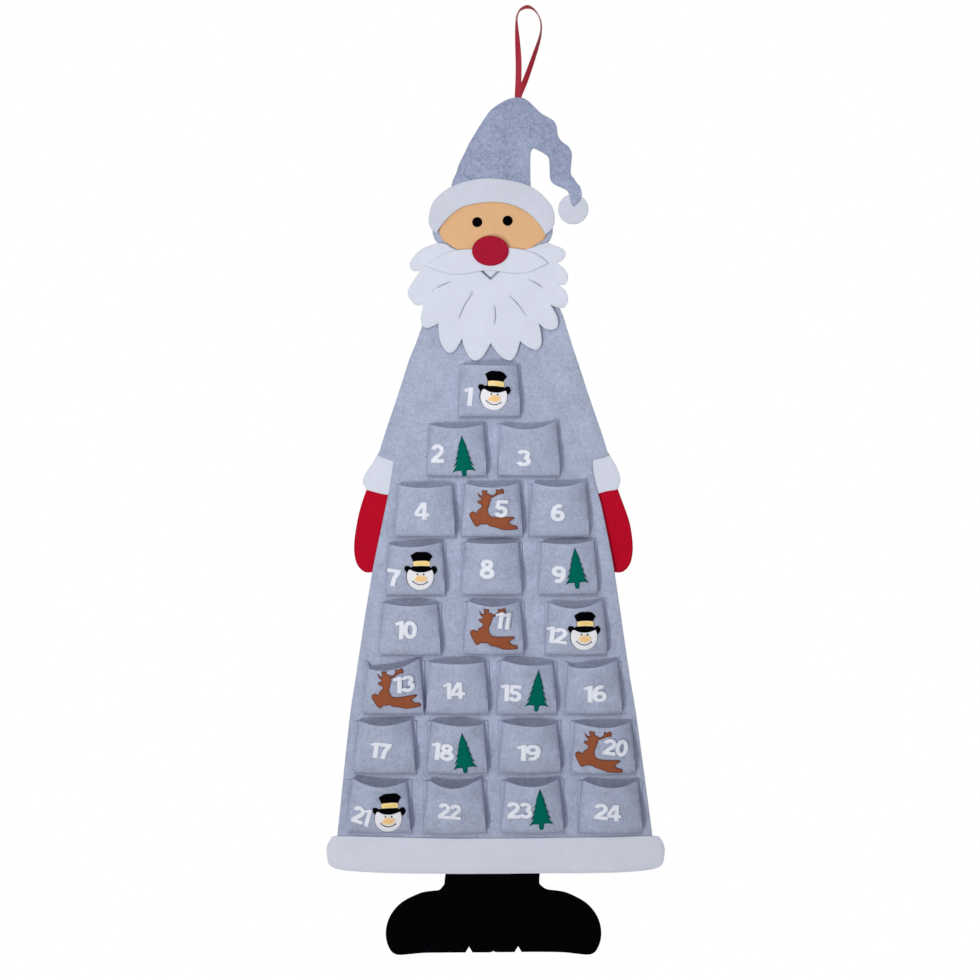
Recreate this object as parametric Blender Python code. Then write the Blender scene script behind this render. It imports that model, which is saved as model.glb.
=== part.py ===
"""Felt advent calendar: a layered wall hanging in the shape of a traditional Father Christmas.

Every layer is cut from flat felt and sewn on the one behind it. 24 box pockets stand on the robe,
and a satin ribbon loop carries the figure. Z is up, the front faces -Y, and the origin is where the
loop hangs on its nail. An outline is a table of shares of its own piece's width and height.
"""

import math

import bmesh
import bpy
from mathutils import Matrix, Vector

# Felt thicknesses and how closely sewn layers lie
PANEL_FELT = 0.003
FELT = 0.002
THIN_FELT = 0.001
LAYER_GAP = 0.0003

# Ribbon loop, from the nail to the top of the hat
LOOP_HEIGHT = 0.1064
LOOP_WIDTH = 0.0288
RIBBON_WIDTH = 0.007
RIBBON_THICKNESS = 0.0005
RIBBON_TAIL_LENGTH = 0.044
FOLD_RISE = 0.0021
FOLD_CLEARANCE = 0.0001
LOOP_SEAT = 0.0009
# The loop's route over the nail: each pair is across the loop and up it
loop_apex_share = 0.449
loop_foot_share = 0.086
loop_route_shares = (
    (0.045, 0.0), (0.077, 0.186), (0.081, 0.383), (0.045, 0.57), (0.008, 0.734),
    (0.0, 0.843), (0.069, 0.926), (0.223, 0.979), (0.449, 1.0), (0.676, 0.973),
    (0.87, 0.909), (0.984, 0.821), (0.988, 0.712), (0.903, 0.602), (0.773, 0.493),
    (0.636, 0.383), (0.502, 0.274), (0.36, 0.164), (0.215, 0.066), (0.126, 0.0),
)
# The legs lie flat to the front below the first share and edge-on above the second
loop_twist_shares = (0.3, 0.8)

# Hat
HAT_WIDTH = 0.1504
HAT_HEIGHT = 0.1271
hat_peak_share = 0.5155
hat_centre_share = 0.3295
hat_base_share = 0.148
hat_outline_shares = (
    ((0.0, 0.12), (0.062, 0.41), (0.148, 0.597), (0.287, 0.853), (0.415, 0.982), (0.509, 1.0),
     (0.58, 0.965), (0.642, 0.889), (0.702, 0.83), (0.78, 0.777), (0.81, 0.713), (0.82, 0.632),
     (0.889, 0.55), (0.924, 0.467), (0.919, 0.316), (0.978, 0.211), (1.0, 0.093)),
    ((1.0, 0.093), (0.975, 0.03), (0.945, 0.0)),
    ((0.945, 0.0), (0.918, 0.03), (0.906, 0.093), (0.879, 0.14), (0.79, 0.193), (0.756, 0.258),
     (0.751, 0.41), (0.721, 0.468), (0.632, 0.524)),
    ((0.632, 0.524), (0.61, 0.491), (0.605, 0.363), (0.612, 0.105)),
)
POMPOM_RADIUS = 0.0175
pompom_centre_shares = (0.936, -0.035)

# Brim, face and features
BRIM_WIDTH = 0.1456
BRIM_HEIGHT = 0.0668
BRIM_LAP = 0.0124
BRIM_OFFSET = -0.0034
brim_outline_shares = (
    ((0.924, 0.012), (0.99, 0.15), (1.0, 0.32), (0.985, 0.479), (0.918, 0.675), (0.817, 0.848),
     (0.684, 0.946), (0.5, 1.0), (0.337, 0.968), (0.174, 0.848), (0.041, 0.608), (0.0, 0.325),
     (0.01, 0.152), (0.066, 0.032), (0.072, 0.087), (0.154, 0.318), (0.276, 0.508), (0.48, 0.586),
     (0.643, 0.548), (0.786, 0.401), (0.888, 0.171), (0.918, 0.034)),
)
FACE_WIDTH = 0.1316
FACE_HEIGHT = 0.0705
face_tuck_share = 0.719
face_outline_shares = (
    ((0.009, 0.397), (0.08, 0.711), (0.23, 0.917), (0.469, 1.0), (0.664, 0.959), (0.841, 0.81),
     (0.925, 0.62), (0.955, 0.42), (0.95, 0.32)),
    ((0.95, 0.32), (0.925, 0.25), (0.87, 0.185), (0.811, 0.109), (0.699, 0.0)),
    ((0.699, 0.0), (0.301, 0.0)),
    ((0.301, 0.0), (0.177, 0.088), (0.099, 0.182), (0.04, 0.264), (0.009, 0.397)),
)
EYE_RADIUS = 0.0052
eye_centre_shares = {"left": (0.346, 0.548), "right": (0.614, 0.571)}
NOSE_WIDTH = 0.0424
NOSE_HEIGHT = 0.0347
nose_centre_shares = (0.534, 0.885)

# Beard and moustache
BEARD_WIDTH = 0.1858
BEARD_HEIGHT = 0.1367
BEARD_DROP = 0.0078
BEARD_OFFSET = -0.008
beard_outline_shares = (
    ((0.197, 1.0), (0.11, 0.962), (0.038, 0.884), (0.013, 0.804), (0.038, 0.76), (0.082, 0.765)),
    ((0.082, 0.765), (0.038, 0.679), (0.001, 0.581), (0.022, 0.506), (0.062, 0.467), (0.098, 0.478)),
    ((0.098, 0.478), (0.082, 0.353), (0.098, 0.287), (0.133, 0.277), (0.191, 0.315)),
    ((0.191, 0.315), (0.201, 0.179), (0.229, 0.097), (0.269, 0.065), (0.308, 0.108), (0.34, 0.185)),
    ((0.34, 0.185), (0.356, 0.103), (0.388, 0.026), (0.427, 0.0), (0.475, 0.043), (0.519, 0.147)),
    ((0.519, 0.147), (0.563, 0.06), (0.611, 0.01), (0.65, 0.005), (0.682, 0.071), (0.702, 0.163)),
    ((0.702, 0.163), (0.746, 0.119), (0.801, 0.09), (0.833, 0.136), (0.833, 0.223), (0.819, 0.315)),
    ((0.819, 0.315), (0.857, 0.271), (0.904, 0.261), (0.936, 0.293), (0.932, 0.375), (0.892, 0.472)),
    ((0.892, 0.472), (0.936, 0.448), (0.976, 0.451), (1.0, 0.506), (0.988, 0.581), (0.944, 0.641)),
    ((0.944, 0.641), (0.984, 0.647), (1.0, 0.712), (0.976, 0.777), (0.932, 0.829)),
    ((0.932, 0.829), (0.972, 0.858), (0.986, 0.913), (0.952, 0.957), (0.865, 1.0)),
    ((0.865, 1.0), (0.817, 0.98), (0.748, 0.947), (0.636, 0.93), (0.418, 0.93), (0.3, 0.942),
     (0.244, 0.985), (0.197, 1.0)),
)
SLIT_WIDTH = 0.0009
MOUTH_SLIT_WIDTH = 0.0017
beard_slit_shares = (
    ((0.159, 0.592), (0.269, 0.671)),
    ((0.748, 0.685), (0.834, 0.622)),
    ((0.404, 0.574), (0.323, 0.366)),
    ((0.638, 0.543), (0.733, 0.388)),
    ((0.539, 0.464), (0.54, 0.312)),
)
mouth_slit_shares = (((0.458, 0.768), (0.521, 0.692)), ((0.517, 0.692), (0.576, 0.766)))
MOUSTACHE_WIDTH = 0.1441
MOUSTACHE_HEIGHT = 0.0275
MOUSTACHE_OFFSET = -0.0098
MOUSTACHE_DROP = 0.0066
moustache_outline_shares = (
    ((0.0, 0.242), (0.117, 0.665), (0.247, 0.919), (0.521, 0.983), (0.722, 1.0), (0.867, 0.835),
     (0.934, 0.644), (1.0, 0.347)),
    ((1.0, 0.347), (0.861, 0.136), (0.701, 0.055), (0.53, 0.085), (0.371, 0.08), (0.182, 0.08),
     (0.0, 0.242)),
)

# Pockets: eight rows, counted from the beard down
POCKET_WIDTH = 0.0712
POCKET_HEIGHT = 0.0621
POCKET_ROW_GAP = 0.0069
POCKET_FLANGE = 0.003
POCKET_FLOOR_FLANGE = 0.0024
POCKET_DEPTH = 0.0125
POCKET_BOW = 0.0055
POCKET_SLOPE = 0.0025
BEARD_TO_POCKETS = 0.0047
row_counts = (1, 2, 3, 3, 3, 4, 4, 4)
row_pitch_shares = (1.0, 1.168, 1.101, 1.248, 1.346, 1.088, 1.18, 1.251)
# Each pocket's own shift across and up, its width, and how far its mouth sags
pocket_shares = (
    (-0.057, 0.0, 1.0, 0.01),
    (-0.028, 0.002, 0.965, 0.06), (-0.028, 0.0, 1.01, 0.07),
    (-0.025, -0.02, 0.98, 0.035), (-0.041, -0.02, 0.995, 0.035), (-0.024, -0.02, 0.98, 0.03),
    (-0.033, -0.005, 0.965, 0.04), (-0.049, 0.0, 0.99, 0.02), (-0.033, 0.008, 0.965, 0.03),
    (-0.024, -0.012, 1.0, 0.055), (-0.016, 0.0, 0.98, 0.05), (-0.025, -0.005, 1.005, 0.05),
    (-0.008, 0.0, 0.985, 0.06), (-0.061, 0.005, 1.02, 0.045), (-0.022, 0.0, 0.975, 0.05),
    (-0.008, 0.0, 0.93, 0.05),
    (-0.008, 0.005, 1.005, 0.045), (-0.014, 0.005, 0.98, 0.05), (-0.019, 0.015, 1.01, 0.06),
    (-0.008, 0.0, 1.04, 0.065),
    (0.0, 0.015, 1.04, 0.05), (-0.019, 0.0, 1.02, 0.065), (-0.014, 0.008, 1.02, 0.06),
    (0.0, 0.0, 1.04, 0.065),
)
# Places across the front of a pocket where its felt bends
front_fold_shares = (-0.5, -0.25, 0.0, 0.25, 0.5)
floor_rise_shares = (0.025, 0.14, 0.55)
floor_reach_shares = (0.72, 0.97, 1.0)
corner_reach_share = 0.8

# Robe, cuffs, mittens, hem and boots
ROBE_SIDE_MARGIN = 0.0139
ROBE_LEAN = 0.0031
lean_pivot_share = 0.15
PANEL_LAP = 0.0256
HEAD_TUCK = 0.0024
HEM_GAP = 0.0015
HEM_HEIGHT = 0.0455
HEM_OVERHANG = 0.0133
HEM_OFFSET = 0.0012
HEM_TUCK = 0.0095
# Half outlines, from the middle to the side: shares of half the head, half the hem, and the height
head_side_shares = (
    (0.0, 1.0), (0.364, 0.985), (0.562, 0.929), (0.711, 0.878), (0.876, 0.807), (0.992, 0.695),
    (0.942, 0.629), (0.793, 0.598),
)
shoulder_side_shares = ((0.319, 0.522), (0.345, 0.405), (0.409, 0.304), (0.447, 0.202), (0.491, 0.126))
sleeve_end_shares = ((0.732, 0.819), (0.633, 0.808))
robe_side_shares = (
    (0.633, 0.808), (0.668, 0.744), (0.77, 0.584), (0.872, 0.371), (0.912, 0.291), (0.999, 0.062),
    (1.019, 0.0),
)
sleeve_edge_shares = ((0.624, 0.922), (0.681, 0.87), (0.732, 0.819))
hem_half_shares = (
    (0.0, 0.936), (0.475, 0.952), (0.921, 0.997), (0.969, 0.941), (1.0, 0.712), (0.992, 0.407),
    (0.96, 0.168), (0.654, 0.056), (0.0, 0.0),
)
CUFF_WIDTH = 0.0416
CUFF_HEIGHT = 0.0444
CUFF_TUCK = 0.0058
CUFF_LIFT = 0.0047
cuff_outline_shares = (
    ((0.0, 0.95), (0.608, 0.992)),
    ((0.608, 0.992), (0.824, 0.722), (0.994, 0.454), (1.0, 0.294), (0.894, 0.121)),
    ((0.894, 0.121), (0.361, 0.0), (0.05, 0.02)),
    ((0.05, 0.02), (0.0, 0.95)),
)
MITTEN_WIDTH = 0.0472
MITTEN_HEIGHT = 0.1022
MITTEN_LAP = 0.0106
mitten_shift_share = 0.12
mitten_outline_shares = (
    ((0.025, 1.0), (0.664, 0.977)),
    ((0.664, 0.977), (0.778, 0.838), (0.891, 0.652), (0.98, 0.42), (1.0, 0.245), (0.931, 0.094),
     (0.753, 0.006), (0.565, 0.0)),
    ((0.565, 0.0), (0.346, 0.031), (0.123, 0.498), (0.025, 1.0)),
)
BOOTS_WIDTH = 0.2509
BOOTS_HEIGHT = 0.123
BOOTS_LAP = 0.028
BOOTS_OFFSET = -0.0012
boots_half_shares = (
    ((0.0, 1.0), (0.44, 1.0)),
    ((0.44, 1.0), (0.44, 0.672)),
    ((0.44, 0.672), (0.499, 0.612), (0.659, 0.588), (0.854, 0.493), (0.966, 0.356), (1.0, 0.205),
     (0.966, 0.068), (0.882, 0.006), (0.65, 0.025), (0.26, 0.025)),
    ((0.26, 0.025), (0.228, 0.081)),
    ((0.228, 0.081), (0.195, 0.025)),
    ((0.195, 0.025), (0.019, 0.025), (0.0, 0.04)),
)

# Appliques: which pocket each is on, its middle, across and up that pocket's front, and its tilt
applique_tilt_degrees = {1: -5.0, 2: 4.0, 7: -1.5, 9: 4.0, 11: -2.5, 12: -1.0, 13: 6.0, 15: -3.5,
                         18: 5.5, 20: -3.5, 21: -2.0, 23: 3.0}
SNOWMAN_WIDTH = 0.0382
SNOWMAN_HEIGHT = 0.0438
snowman_place_shares = {1: (0.551, 0.534), 7: (0.592, 0.536), 12: (0.619, 0.539), 21: (0.667, 0.505)}
snowman_hat_shares = (
    (0.0, 0.542), (0.036, 0.621), (0.145, 0.621), (0.197, 0.584), (0.27, 0.618), (0.267, 0.742),
    (0.182, 0.9), (0.348, 0.995), (0.497, 1.0), (0.658, 0.995), (0.761, 0.953), (0.845, 0.874),
    (0.748, 0.742), (0.764, 0.616), (0.8, 0.576), (0.848, 0.621), (0.939, 0.621), (1.0, 0.534),
    (0.97, 0.455), (0.909, 0.411),
)
snowman_backing_share = 0.395
snowman_backing_centre_shares = (0.464, 0.343)
snowman_backing_angles = (7.0, -196.0)
snowman_face_share = 0.403
snowman_face_centre_shares = (0.482, 0.352)
snowman_face_angles = (31.0, -209.0)
snowman_brim_shares = ((0.188, 0.534), (0.297, 0.489), (0.397, 0.468), (0.6, 0.468), (0.7, 0.497))
TREE_WIDTH = 0.0264
TREE_HEIGHT = 0.0457
TREE_TIERS = 5
tree_place_shares = {2: (0.607, 0.427), 9: (0.599, 0.576), 15: (0.669, 0.537), 18: (0.609, 0.507),
                     23: (0.625, 0.574)}
tree_first_tier_share = 0.25
tree_crown_share = 0.16
tree_tier_share = 0.695
tree_notch_shares = (0.68, 0.035)
tree_trunk_shares = (0.2, 0.12)
REINDEER_WIDTH = 0.0557
REINDEER_HEIGHT = 0.0481
reindeer_place_shares = {5: (0.525, 0.574), 11: (0.517, 0.579), 13: (0.536, 0.564), 20: (0.437, 0.539)}
reindeer_outline_shares = (
    (0.155, 0.668), (0.213, 0.623), (0.256, 0.597), (0.229, 0.527), (0.169, 0.477), (0.151, 0.408),
    (0.126, 0.418), (0.064, 0.442), (0.008, 0.408), (0.0, 0.337), (0.039, 0.246), (0.099, 0.126),
    (0.147, 0.076), (0.205, 0.105), (0.213, 0.136), (0.291, 0.136), (0.36, 0.141), (0.413, 0.1),
    (0.543, 0.064), (0.638, 0.026), (0.682, 0.005), (0.847, 0.0), (0.986, 0.01), (1.0, 0.045),
    (0.961, 0.11), (0.882, 0.126), (0.812, 0.196), (0.874, 0.236), (0.942, 0.291), (0.882, 0.317),
    (0.76, 0.317), (0.63, 0.313), (0.5, 0.317), (0.43, 0.346), (0.395, 0.408), (0.382, 0.496),
    (0.413, 0.597), (0.43, 0.678), (0.452, 0.728), (0.43, 0.754), (0.465, 0.778), (0.552, 0.828),
    (0.622, 0.864), (0.713, 0.878), (0.709, 0.959), (0.674, 1.0), (0.612, 0.969), (0.543, 0.986),
    (0.548, 0.909), (0.5, 0.85), (0.446, 0.845), (0.403, 0.874), (0.364, 0.878), (0.37, 0.955),
    (0.26, 0.959), (0.256, 0.909), (0.277, 0.85), (0.229, 0.828), (0.161, 0.9), (0.182, 0.828),
    (0.205, 0.783), (0.248, 0.759), (0.229, 0.718), (0.178, 0.709),
)

CUT_OVERRUN = 0.002
DISC_SIDES = 28
ARC_STEP_DEGREES = 14.0

# Layers from the wall to the front. Each is (front, back) in Y; the robe's back is at 0
robe_layer = (-PANEL_FELT, 0.0)


def in_front_of(layer, thickness):
    """The layer of that thickness that lies on another one's front."""
    back = layer[0] - LAYER_GAP
    return (back - thickness, back)


def behind(layer, thickness):
    """The layer of that thickness that lies against another one's back."""
    front = layer[1] + LAYER_GAP
    return (front, front + thickness)


hat_layer = in_front_of(robe_layer, PANEL_FELT)
brim_layer = in_front_of(hat_layer, FELT)
face_layer = in_front_of(robe_layer, FELT)
eye_layer = in_front_of(face_layer, THIN_FELT)
beard_layer = in_front_of(face_layer, FELT)
moustache_layer = in_front_of(beard_layer, FELT)
nose_layer = in_front_of(moustache_layer, FELT)
hem_layer = in_front_of(robe_layer, FELT)
pompom_layer = behind(hat_layer, FELT)
tails_layer = behind(hat_layer, 2 * RIBBON_THICKNESS + LAYER_GAP)
cuff_layer = behind(robe_layer, FELT)
mitten_layer = behind(cuff_layer, FELT)
boots_layer = behind(robe_layer, FELT)
pocket_back = robe_layer[0] - LAYER_GAP

# Places down the figure, each from the one above it
foot_x = (loop_foot_share - loop_apex_share) * LOOP_WIDTH
hat_left = foot_x - hat_peak_share * HAT_WIDTH
centre_x = hat_left + hat_centre_share * HAT_WIDTH
hat_top = -LOOP_HEIGHT
hat_bottom = hat_top - HAT_HEIGHT
hat_base = hat_bottom + hat_base_share * HAT_HEIGHT
brim_bottom = hat_base + BRIM_LAP - BRIM_HEIGHT
face_bottom = brim_bottom + face_tuck_share * BRIM_HEIGHT - FACE_HEIGHT
beard_top = brim_bottom - BEARD_DROP
beard_bottom = beard_top - BEARD_HEIGHT
moustache_bottom = beard_top - MOUSTACHE_DROP - MOUSTACHE_HEIGHT
pockets_top = beard_bottom - BEARD_TO_POCKETS
row_drop = POCKET_HEIGHT + POCKET_ROW_GAP
pockets_bottom = pockets_top - (len(row_counts) - 1) * row_drop - POCKET_HEIGHT
hem_top = pockets_bottom - HEM_GAP
hem_bottom = hem_top - HEM_HEIGHT
robe_top = hat_base + PANEL_LAP
robe_bottom = hem_bottom + HEM_TUCK
robe_width = (1 + (row_counts[-1] - 1) * row_pitch_shares[-1]) * POCKET_WIDTH + 2 * ROBE_SIDE_MARGIN
head_width = BRIM_WIDTH - 2 * HEAD_TUCK


def clear_scene():
    for old in list(bpy.data.objects):
        bpy.data.objects.remove(old, do_unlink=True)


def make_material(name, colour, roughness=0.95, metallic=0.0):
    material = bpy.data.materials.new(name)
    material.use_nodes = True
    shader = material.node_tree.nodes["Principled BSDF"]
    shader.inputs["Base Color"].default_value = (*colour, 1.0)
    shader.inputs["Roughness"].default_value = roughness
    shader.inputs["Metallic"].default_value = metallic
    material.diffuse_color = (*colour, 1.0)
    return material


def make_empty(name, place):
    empty = bpy.data.objects.new(name, None)
    empty.location = place
    bpy.context.scene.collection.objects.link(empty)
    return empty


def make_object(name, builder, material, carrier):
    """An object from a finished bmesh in world places, with its origin at its middle."""
    bmesh.ops.recalc_face_normals(builder, faces=builder.faces)
    corners = [[pick(vert.co[axis] for vert in builder.verts) for axis in range(3)]
               for pick in (min, max)]
    middle = 0.5 * (Vector(corners[0]) + Vector(corners[1]))
    bmesh.ops.translate(builder, verts=builder.verts, vec=-middle)
    mesh = bpy.data.meshes.new(name)
    builder.to_mesh(mesh)
    builder.free()
    mesh.materials.append(material)
    made = bpy.data.objects.new(name, mesh)
    bpy.context.scene.collection.objects.link(made)
    made.parent = carrier
    made.location = middle - carrier.location
    return made


def smooth_run(points, steps):
    """Points along a curve through the given ones, the last one left out."""
    if len(points) == 2:
        return [points[0]]
    ends = [points[0], *points, points[-1]]
    run = []
    for before, start, end, after in zip(ends, ends[1:], ends[2:], ends[3:]):
        for step in range(steps):
            t = step / steps
            run.append(tuple(
                0.5 * (2 * b + (c - a) * t + (2 * a - 5 * b + 4 * c - d) * t * t
                       + (3 * b - a - 3 * c + d) * t * t * t)
                for a, b, c, d in zip(before, start, end, after)
            ))
    return run


def smooth_outline(strokes, steps=2):
    """One closed outline from strokes that meet at corners."""
    outline = []
    for stroke in strokes:
        outline += smooth_run(stroke, steps)
    return outline


def mirrored(half):
    """A closed outline from its right half, which starts and ends on the middle line."""
    left = [(-x, z) for x, z in reversed(half) if x > 0]
    return list(half) + left


def placed(outline, left, bottom, width, height):
    return [(left + x * width, bottom + z * height) for x, z in outline]


def plate_mesh(outline, layer):
    """A flat layer of felt with this outline in X and Z."""
    builder = bmesh.new()
    front = [builder.verts.new((x, layer[0], z)) for x, z in outline]
    face = builder.faces.new(front)
    back = bmesh.ops.extrude_face_region(builder, geom=[face])["geom"]
    moved = [part for part in back if isinstance(part, bmesh.types.BMVert)]
    bmesh.ops.translate(builder, verts=moved, vec=(0.0, layer[1] - layer[0], 0.0))
    return builder


def felt_plate(name, outline, layer, material):
    return make_object(name, plate_mesh(outline, layer), material, figure)


def disc_outline(centre_x, centre_z, width, height):
    return [
        (centre_x + 0.5 * width * math.cos(math.tau * side / DISC_SIDES),
         centre_z + 0.5 * height * math.sin(math.tau * side / DISC_SIDES))
        for side in range(DISC_SIDES)
    ]


def arc_points(centre, radius, angles):
    """Points from the first angle to the second, in degrees, both ends included."""
    start, end = angles
    steps = math.ceil(abs(end - start) / ARC_STEP_DEGREES)
    turned = [math.radians(start + (end - start) * step / steps) for step in range(steps + 1)]
    return [(centre[0] + radius * math.cos(a), centre[1] + radius * math.sin(a)) for a in turned]


def slit_cutter(name, start, end, width, layer):
    """A hidden blade from one point to another, longer than the felt is thick."""
    along = Vector((end[0] - start[0], 0.0, end[1] - start[1]))
    depth = layer[1] - layer[0] + 2 * CUT_OVERRUN
    middle = Vector(((start[0] + end[0]) / 2, (layer[0] + layer[1]) / 2, (start[1] + end[1]) / 2))
    builder = bmesh.new()
    bmesh.ops.create_cube(builder, size=1.0)
    bmesh.ops.scale(builder, verts=builder.verts, vec=(along.length, depth, width))
    turn = Matrix.Rotation(-math.atan2(along.z, along.x), 4, "Y")
    bmesh.ops.transform(builder, verts=builder.verts, matrix=Matrix.Translation(middle) @ turn)
    cutter = make_object(name, builder, materials["white_felt"], figure)
    cutter.hide_render = True
    cutter.display_type = "WIRE"
    return cutter


def cut_with(target, cutter):
    cut = target.modifiers.new(cutter.name, "BOOLEAN")
    cut.operation = "DIFFERENCE"
    cut.solver = "EXACT"
    cut.object = cutter


def smoothstep(low, high, value):
    t = min(max((value - low) / (high - low), 0.0), 1.0)
    return t * t * (3 - 2 * t)


def ribbon_loop():
    """The ribbon from its left foot over the nail to its right foot, turned edge-on at the top."""
    leg_offset = 0.5 * (RIBBON_THICKNESS + LAYER_GAP)
    middle_y = 0.5 * (tails_layer[0] + tails_layer[1])
    route = [*smooth_run(loop_route_shares, 2), loop_route_shares[-1]]
    apex = max(range(len(route)), key=lambda i: route[i][1])
    loop_rise = LOOP_HEIGHT - LOOP_SEAT
    places = []
    for i, (across, up) in enumerate(route):
        apart = 1 - smoothstep(*loop_twist_shares, up)
        side = -leg_offset if i < apex else leg_offset
        places.append(Vector(((across - loop_apex_share) * LOOP_WIDTH,
                              middle_y + side * apart,
                              (up - 1) * loop_rise)))
    builder = bmesh.new()
    rings = []
    for i, place in enumerate(places):
        along = (places[min(i + 1, len(places) - 1)] - places[max(i - 1, 0)]).normalized()
        if i in (0, len(places) - 1):
            along = Vector((0.0, 0.0, math.copysign(1.0, along.z)))
        twist = 0.5 * math.pi * smoothstep(*loop_twist_shares, route[i][1])
        flat = along.cross(Vector((0.0, 1.0, 0.0))).normalized()
        wide = flat * math.cos(twist) + Vector((0.0, 1.0, 0.0)) * math.sin(twist)
        thick = along.cross(wide).normalized()
        corners = ((-0.5, -0.5), (0.5, -0.5), (0.5, 0.5), (-0.5, 0.5))
        rings.append([
            builder.verts.new(place + wide * (a * RIBBON_WIDTH) + thick * (b * RIBBON_THICKNESS))
            for a, b in corners
        ])
    for ring, after in zip(rings, rings[1:]):
        for k in range(len(ring)):
            n = (k + 1) % len(ring)
            builder.faces.new((ring[k], ring[n], after[n], after[k]))
    builder.faces.new(rings[0])
    builder.faces.new(rings[-1])
    return make_object("ribbon_loop", builder, materials["ribbon_satin"], nail)


def ribbon_tails():
    left = foot_x - 0.5 * RIBBON_WIDTH
    right = foot_x + 0.5 * RIBBON_WIDTH
    bottom = hat_top - RIBBON_TAIL_LENGTH
    outline = [(left, bottom), (right, bottom), (right, hat_top), (left, hat_top)]
    return felt_plate("ribbon_tails", outline, tails_layer, materials["ribbon_satin"])


def head_pieces():
    hat = placed(smooth_outline(hat_outline_shares), hat_left, hat_bottom, HAT_WIDTH, HAT_HEIGHT)
    felt_plate("hat", hat, hat_layer, materials["grey_felt"])
    pompom_x = hat_left + pompom_centre_shares[0] * HAT_WIDTH
    pompom_z = hat_bottom + pompom_centre_shares[1] * HAT_HEIGHT
    disc = disc_outline(pompom_x, pompom_z, 2 * POMPOM_RADIUS, 2 * POMPOM_RADIUS)
    felt_plate("pompom", disc, pompom_layer, materials["white_felt"])

    brim_left = centre_x + BRIM_OFFSET - 0.5 * BRIM_WIDTH
    brim = placed(smooth_outline(brim_outline_shares), brim_left, brim_bottom, BRIM_WIDTH, BRIM_HEIGHT)
    felt_plate("hat_brim", brim, brim_layer, materials["white_felt"])

    face_left = centre_x - 0.5 * FACE_WIDTH
    face = placed(smooth_outline(face_outline_shares), face_left, face_bottom, FACE_WIDTH, FACE_HEIGHT)
    felt_plate("face", face, face_layer, materials["peach_felt"])
    for side, (across, up) in eye_centre_shares.items():
        eye = disc_outline(face_left + across * FACE_WIDTH, face_bottom + up * FACE_HEIGHT,
                           2 * EYE_RADIUS, 2 * EYE_RADIUS)
        felt_plate("eye_" + side, eye, eye_layer, materials["black_felt"])


def beard_pieces():
    left = centre_x + BEARD_OFFSET - 0.5 * BEARD_WIDTH
    place = (left, beard_bottom, BEARD_WIDTH, BEARD_HEIGHT)
    beard = felt_plate("beard", placed(smooth_outline(beard_outline_shares), *place), beard_layer,
                       materials["white_felt"])
    cuts = [(ends, SLIT_WIDTH) for ends in beard_slit_shares]
    cuts += [(ends, MOUTH_SLIT_WIDTH) for ends in mouth_slit_shares]
    for number, (ends, width) in enumerate(cuts, start=1):
        start, end = placed(ends, *place)
        cut_with(beard, slit_cutter(f"slit_cutter_{number}", start, end, width, beard_layer))

    moustache_left = centre_x + MOUSTACHE_OFFSET - 0.5 * MOUSTACHE_WIDTH
    moustache_place = (moustache_left, moustache_bottom, MOUSTACHE_WIDTH, MOUSTACHE_HEIGHT)
    moustache = placed(smooth_outline(moustache_outline_shares), *moustache_place)
    felt_plate("moustache", moustache, moustache_layer, materials["white_felt"])
    nose_x, nose_z = placed([nose_centre_shares], *moustache_place)[0]
    felt_plate("nose", disc_outline(nose_x, nose_z, NOSE_WIDTH, NOSE_HEIGHT), nose_layer,
               materials["red_felt"])


def robe_half():
    """The right half of the robe's outline, from the top of the head to the foot, about X 0."""
    upper = robe_top - pockets_top
    lower = pockets_top - robe_bottom
    half_head = 0.5 * head_width
    half_hem = 0.5 * robe_width
    head = [(x * half_head, pockets_top + z * upper) for x, z in head_side_shares]
    shoulder = [(x * half_hem, pockets_top + z * upper) for x, z in shoulder_side_shares]
    sleeve = [(x * half_hem, robe_bottom + z * lower) for x, z in sleeve_edge_shares]
    end = [(x * half_hem, robe_bottom + z * lower) for x, z in sleeve_end_shares]
    side = [(x * half_hem, robe_bottom + z * lower) for x, z in robe_side_shares]
    return [*smooth_run(head, 2), *smooth_run([head[-1], *shoulder], 2),
            *smooth_run([shoulder[-1], *sleeve], 2), end[0], *smooth_run(side, 2), side[-1]], end


def lean(z):
    """How far the figure leans to the side at this height, which its hat leans further."""
    up = (z - robe_bottom) / (robe_top - robe_bottom)
    return ROBE_LEAN * (lean_pivot_share - up)


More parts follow.
